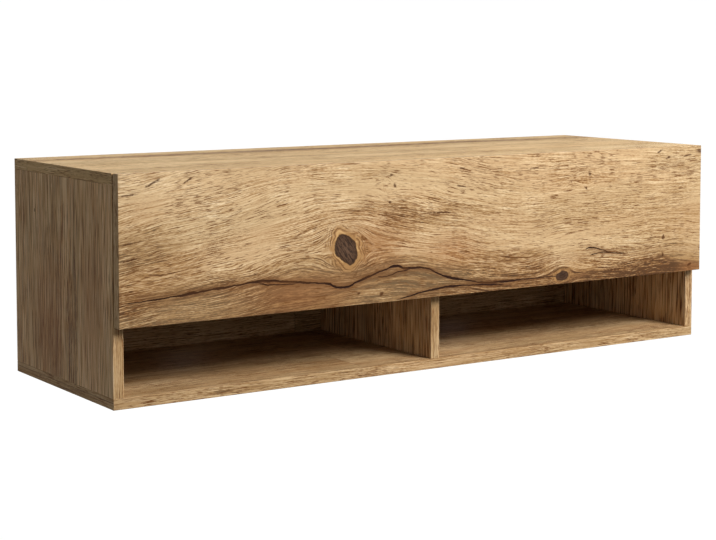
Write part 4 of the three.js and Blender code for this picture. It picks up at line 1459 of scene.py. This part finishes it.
@dataclass
class Boards:
    """The nine boards of the console."""

    finishes: Finishes

    def build(self, frame: Frame) -> list[bpy.types.Object]:
        """Builds every board.


        Returns:
            The boards.
        """
        front, top = self.finishes.oak_front, self.finishes.oak_top
        oak, upright = self.finishes.oak_shaded_lengthwise, self.finishes.oak_upright
        raw, fibre, band = self.finishes.particleboard, self.finishes.fibreboard, self.finishes.oak_edge
        along, up = Direction.LENGTHWISE, Direction.UPRIGHT
        back = {"slot": "oak_faced_back", "raw_rear": False, "arris": 0.2}
        flap = {"body": "flap", "slot": "oak_faced_front", "raw_rear": False}
        boards = [
            Board("top_panel", top, raw, band, along, Face.TOP, 1),
            Board("bottom_panel", oak, raw, band, along, Face.TOP, 2),
            Board("middle_shelf", oak, raw, band, along, Face.UNDERSIDE, 3),
            Board("side_panel_left", upright, raw, band, up, Face.LEFT, 4),
            Board("side_panel_right", upright, raw, band, up, Face.RIGHT, 5),
            Board("niche_divider", upright, raw, band, up, Face.LEFT, 6),
            Board("upper_divider", upright, raw, band, up, Face.LEFT, 7),
            Board("back_panel", oak, fibre, oak, along, Face.FRONT, 8, **back),
            Board("flap_front", front, raw, front, along, Face.FRONT, 0, **flap),
        ]
        return [board.build(frame) for board in boards]


@dataclass
class Hardware:
    """Metal and plastic fittings, which keep their CAD solids' shapes with eased edges.

    Attributes:
        ease: How much their edges are eased, in millimetres.
        edge_angle: Sharper edges than this, in degrees, are eased.
        smooth_angle: Sharper edges than this, in degrees, stay crisp in the shading.
    """

    finishes: Finishes
    ease: float = 0.25
    edge_angle: float = 50.0
    smooth_angle: float = 34.0

    def build(self, frame: Frame) -> list[bpy.types.Object]:
        """Dresses every fitting by the material slot that the record gives it.


        Returns:
            The fittings.
        """
        by_slot = {
            "nickel_steel": self.finishes.nickel,
            "zinc_casting": self.finishes.zinc,
            "galvanised_steel": self.finishes.galvanised,
            "grey_plastic": self.finishes.grey_plastic,
            "white_plastic": self.finishes.white_plastic,
            "magnet_tip": self.finishes.black_plastic,
            "beech": self.finishes.beech,
        }
        parts = [(part["node"], part["material_slot"]) for part in frame["record"]["subparts"]]
        return [self.dress(frame, node, by_slot[slot]) for node, slot in parts if slot in by_slot]

    def dress(self, frame: Frame, node: str, material: bpy.types.Material) -> bpy.types.Object:
        """Rounds a fitting's edges and gives it its finish.

        Args:
            node: The CAD node.
            material: Its finish.

        Returns:
            The fitting.
        """
        copy = merged_copy(node, frame)
        limit = math.radians(self.edge_angle)
        sharp = [edge for edge in copy.edges if edge.is_manifold and edge.calc_face_angle() > limit]
        mesh = eased_mesh(node + "_finished", copy, sharp, self.ease, segments=2, clamp=True)
        mesh.shade_smooth()
        mesh.set_sharp_from_angle(angle=math.radians(self.smooth_angle))
        fitting = new_object(node + "_finished", mesh, [material])
        weighted = fitting.modifiers.new("weighted", "WEIGHTED_NORMAL")
        weighted.keep_sharp = True
        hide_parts(node)
        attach(fitting, frame["nodes"][node]["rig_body"])
        return fitting


@dataclass(frozen=True)
class Seat:
    """Where a screw sits: the middle of the face under its head, and the way that the head points."""

    place: Place
    facing: Place


@dataclass
class ScrewRow:
    """Screws of one kind on one body, drawn as their heads: a low dome with a cross recess.

    Sizes are in millimetres. The head's height over its flat seat falls from the middle to
    the rim as rise x (1 - share^3), where share is the distance from its axis over its radius.
    All of the dome stands on an upright edge, and the recess is two slots that cross, with
    sloping walls.

    Attributes:
        sink: How far the head is let in.
        edge_share: The edge's height over the dome's rise.
        recess_share: A slot's half-length over the radius.
        recess_wall: How wide a slot's sloping wall is.
        inner_share: The innermost ring's distance from the axis over the radius.
        sharp_angle: Sharper edges than this, in degrees, stay crisp in the shading.
    """

    name: str
    body: str
    finish: bpy.types.Material
    seats: list[Seat]
    radius: float = 3.4
    rise: float = 1.4
    sink: float = 0.0
    edge_share: float = 0.25
    recess_half_width: float = 0.48
    recess_share: float = 0.56
    recess_depth: float = 0.9
    recess_wall: float = 0.3
    inner_share: float = 0.07
    rings: int = 16
    spokes: int = 64
    sharp_angle: float = 40.0

    def build(self) -> bpy.types.Object:
        """Builds the row as one piece.

        Returns:
            The piece.
        """
        count = self.rings * self.spokes
        spoke = np.arange(self.spokes)
        dome = grid_faces(self.rings, self.spokes, closed=True)
        middle = np.stack([np.full_like(spoke, count), spoke, np.roll(spoke, -1)], axis=1)
        faces = []
        for index in range(len(self.seats)):
            start = index * (count + 1)
            faces += (dome + start).tolist() + (middle + start).tolist()
        places = np.concatenate([self.head(seat) for seat in self.seats])
        mesh = bpy.data.meshes.new(self.name)
        mesh.from_pydata(places.tolist(), [], faces)
        mesh.update()
        mesh.shade_smooth()
        mesh.set_sharp_from_angle(angle=math.radians(self.sharp_angle))
        row = new_object(self.name, mesh, [self.finish])
        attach(row, self.body)
        return row

    def head(self, seat: Seat) -> np.ndarray:
        """Works out one head's points.

        Args:
            seat: Where it sits.

        Returns:
            Its points in metres, ring by ring from the middle out, and the middle point last.
        """
        share = np.append(np.linspace(self.inner_share, 1.0, self.rings - 1), 1.0)[:, None]
        turn = np.linspace(0.0, 2 * math.pi, self.spokes, endpoint=False)[None, :]
        x, y = share * self.radius * np.cos(turn), share * self.radius * np.sin(turn)
        height = self.rise * (1 - share**3) * np.ones_like(turn)
        height[:-1] += self.edge_share * self.rise
        height[-1] = 0.0
        reach = self.recess_share * self.radius
        slots = [(np.abs(x), np.abs(y)), (np.abs(y), np.abs(x))]
        inside = np.maximum(*[np.minimum(reach - a, self.recess_half_width - b) for a, b in slots])
        height -= self.recess_depth * np.clip(0.5 + inside / self.recess_wall, 0.0, 1.0)
        middle = [0.0, 0.0, (1 + self.edge_share) * self.rise - self.recess_depth]
        local = np.concatenate([np.stack([x, y, height], axis=-1).reshape(-1, 3), [middle]])
        local[:, 2] -= self.sink
        turned = np.array(Vector(seat.facing).to_track_quat("Z", "X").to_matrix())
        return (local @ turned.T + np.array(seat.place)) * MM


@dataclass
class Screws:
    """The screws that hold the fittings to the boards. Their heads close the fittings' bores.

    Places are in millimetres. A pair of numbers is a place in depth and height, and a spread is
    how far two screws lie to either side.
    """

    finishes: Finishes
    hinge_x: tuple[float, ...] = (-440.0, -56.0, 440.0)
    cup_spread: float = 21.5
    cup_seat: tuple[float, float] = (-343.0, -137.5)
    plate_spread: float = 12.5
    plate_seat: tuple[float, float] = (-311.75, -140.81)
    arm_seat: tuple[float, float] = (-296.75, -137.71)
    side_x: float = 532.0
    bracket_seats: tuple[tuple[float, float], ...] = ((-296.46, -36.65), (-296.46, -78.65))
    foot_x: float = 518.0
    foot_seats: tuple[tuple[float, float], ...] = ((-342.0, -26.13), (-342.0, -61.13))
    hanger_seat: tuple[float, float] = (-42.3, -29.0)
    latch_x: float = 34.0
    latch_spread: float = 11.5
    latch_seats: tuple[tuple[float, float], ...] = ((-284.75, 37.5), (-330.75, 37.5))
    strike_seat: tuple[float, float] = (-342.5, 31.5)

    def build(self) -> list[bpy.types.Object]:
        """Builds every row of screws.

        Returns:
            The rows.
        """
        steel = self.finishes.nickel
        out, up, down = (0.0, 1.0, 0.0), (0.0, 0.0, 1.0), (0.0, 0.0, -1.0)
        cups, plates, arms = [], [], []
        for x in self.hinge_x:
            cups += [Seat((x + side * self.cup_spread, *self.cup_seat), out) for side in SIDES]
            plates += [Seat((x + side * self.plate_spread, *self.plate_seat), up) for side in SIDES]
            arms.append(Seat((x, *self.arm_seat), up))
        brackets, feet, hangers = [], [], []
        for side in SIDES:
            inward = (-side, 0.0, 0.0)
            brackets += [Seat((side * self.side_x, *seat), inward) for seat in self.bracket_seats]
            feet += [Seat((side * self.foot_x, *seat), out) for seat in self.foot_seats]
            hangers.append(Seat((side * self.side_x, *self.hanger_seat), inward))
        ears = [self.latch_x + side * self.latch_spread for side in SIDES]
        latch = [Seat((x, *seat), down) for x in ears for seat in self.latch_seats]
        strike = [Seat((self.latch_x, *self.strike_seat), out)]
        let_in = {"radius": 3.8, "rise": 0.3, "sink": 0.7, "recess_depth": 0.6}
        rows = [
            ScrewRow("hinge_cup_screws", "flap", steel, cups, radius=3.1, rise=0.9, recess_depth=0.7),
            ScrewRow("hinge_plate_screws", "carcass", steel, plates, radius=3.3, rise=1.1),
            ScrewRow("hinge_arm_screws", "carcass", steel, arms, radius=3.2, rise=1.0),
            ScrewRow("stay_bracket_screws", "carcass", steel, brackets),
            ScrewRow("stay_foot_screws", "flap", steel, feet),
            ScrewRow("hanger_screws", "carcass", steel, hangers, radius=3.9, rise=1.6),
            ScrewRow("latch_screws", "carcass", steel, latch, radius=3.2, rise=1.2),
            ScrewRow("strike_screw", "flap", steel, strike, **let_in),
        ]
        return [row.build() for row in rows]


@dataclass
class Studio:
    """Camera, lamp, white surroundings, and a sheet that is floor and backdrop.

    Attributes:
        yaw: How far the camera is turned to the right, in degrees.
        pitch: How far it looks up, in degrees.
        shift: Its upright shift in widths of the frame.
        ambient: Strength of the light from all round.
        key_target: Where the lamp points.
        glow: Strength of the white that the camera sees on the sheet.
        glow_share: Its share there, against the sheet's own shading.
        floor_drop: How far the floor lies under the console, in metres.
        sheet_half_width: The sheet's half-width in metres.
        sheet_front: Where its front edge lies.
        sheet_rear: Where its upright part stands.
        bend: Radius of the quarter round between the two.
        bend_rows: Rows of points on that round.
        sheet_height: Height of its upright part over the floor.
    """

    camera_place: Place = (-1.5753, -2.498, 0.2482)
    yaw: float = 33.575
    pitch: float = -4.293
    lens: float = 87.03
    sensor_width: float = 36.0
    shift: float = -0.15
    ambient: float = 0.285
    key_place: Place = (1.15, -2.8, 1.95)
    key_target: Place = (0.0, -0.2, -0.1)
    key_power: float = 172.0
    key_size: float = 1.5
    glow: float = 1.14
    glow_share: float = 0.86
    floor_drop: float = 0.42
    sheet_half_width: float = 9.0
    sheet_front: float = -9.0
    sheet_rear: float = 6.0
    bend: float = 1.5
    bend_rows: int = 13
    sheet_height: float = 5.0

    def build(self) -> None:
        """Builds the studio."""
        scene = bpy.context.scene
        scene.view_settings.view_transform = "Standard"
        self.build_camera(scene)
        self.build_world(scene)
        self.build_key(scene)
        self.build_sweep()

    def build_camera(self, scene: bpy.types.Scene) -> None:
        """Places the camera as it stood for the photograph.

        Args:
            scene: The scene that gets it.
        """
        lens = bpy.data.cameras.new("camera")
        lens.lens = self.lens
        lens.sensor_width = self.sensor_width
        lens.shift_y = self.shift
        camera = bpy.data.objects.new("camera", lens)
        camera.location = self.camera_place
        camera.rotation_euler = (math.radians(90 + self.pitch), 0.0, math.radians(-self.yaw))
        scene.collection.objects.link(camera)
        scene.camera = camera

    def build_world(self, scene: bpy.types.Scene) -> None:
        """Makes an even light from all round, which the camera, metal and glass see as white.

        Args:
            scene: The scene that gets it.
        """
        world = bpy.data.worlds.new("studio")
        world.use_nodes = True
        scene.world = world
        graph = Graph(world.node_tree)
        graph.tree.nodes.clear()
        seen = self.seen_directly(graph)
        dim = graph.add("Background", WHITE, self.ambient)
        white = graph.add("Background", WHITE, 1.0)
        graph.add("OutputWorld", graph.add("MixShader", seen, dim, white))

    def seen_directly(self, graph: Graph) -> Socket:
        """Marks the rays that come from the camera or by a mirror or glass.

        Args:
            graph: The material or world that asks.

        Returns:
            1 for such a ray and 0 for the rest.
        """
        total = graph.add("LightPath", output="Is Camera Ray")
        for name in ("Is Glossy Ray", "Is Transmission Ray"):
            ray = graph.add("LightPath", output=name)
            total = graph.add("Math", total, ray, operation="MAXIMUM")
        return total

    def build_key(self, scene: bpy.types.Scene) -> None:
        """Hangs one large soft lamp at the front, to the right and above.

        Args:
            scene: The scene that gets it.
        """
        lamp = bpy.data.lights.new("key", "AREA")
        lamp.shape = "SQUARE"
        lamp.size = self.key_size
        lamp.energy = self.key_power
        key = bpy.data.objects.new("key", lamp)
        key.location = self.key_place
        aim = Vector(self.key_target) - Vector(self.key_place)
        key.rotation_euler = aim.to_track_quat("-Z", "Y").to_euler()
        scene.collection.objects.link(key)

    def build_sweep(self) -> None:
        """Makes the floor and backdrop as one sheet: flat, then a quarter round, then upright.

        The sheet is a profile in depth and height, carried straight along the width.
        """
        low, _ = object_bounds()
        floor = low.z - self.floor_drop
        turn = np.linspace(0.0, math.pi / 2, self.bend_rows)
        bent = self.sheet_rear - self.bend + self.bend * np.sin(turn)
        depth = np.concatenate([[self.sheet_front], bent, [self.sheet_rear]])
        height = np.concatenate([[0.0], self.bend - self.bend * np.cos(turn), [self.sheet_height]]) + floor
        width = np.array([self.sheet_half_width, -self.sheet_half_width])
        grid = np.stack(np.broadcast_arrays(width[None, :], depth[:, None], height[:, None]), axis=2)
        mesh = bpy.data.meshes.new("studio_sweep")
        mesh.from_pydata(grid.reshape(-1, 3).tolist(), [], grid_faces(len(depth), len(width)).tolist())
        mesh.update()
        sweep = new_object("studio_sweep", mesh, [self.sweep_material()])
        sweep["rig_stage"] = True

    def sweep_material(self) -> bpy.types.Material:
        """Makes matt white paper that stays white behind the object and still takes its shadow.

        Returns:
            The material, which is clear from its back.
        """
        material, graph = new_material("studio_paper")
        grain = graph.add("TexNoise", named={"Scale": 40.0, "Detail": 2.0})
        rough = graph.add("Math", grain, 0.1, 0.85, operation="MULTIPLY_ADD")
        dim = graph.add("BsdfPrincipled", named={"Base Color": "#6c6c6c", "Roughness": rough})
        paper = graph.add("BsdfPrincipled", named={"Base Color": "#e0e0e0", "Roughness": rough})
        glow = graph.add("Emission", WHITE, self.glow)
        lit = graph.add("MixShader", self.glow_share, paper, glow)
        front = graph.add("MixShader", self.seen_directly(graph), dim, lit)
        clear = graph.add("BsdfTransparent")
        behind = graph.add("NewGeometry", output="Backfacing")
        graph.add("OutputMaterial", graph.add("MixShader", behind, front, clear))
        return material


def main() -> None:
    """Loads the frame, builds everything in order and reports each piece."""
    logging.basicConfig(level=logging.INFO, format="%(name)s: %(message)s")
    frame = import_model()
    Studio().build()
    finishes = Finishes()
    pieces = Boards(finishes).build(frame) + Hardware(finishes).build(frame) + Screws(finishes).build()
    for piece in pieces:
        log.info("%s: %d faces", piece.name, len(piece.data.polygons))


if __name__ == "__main__":
    main()
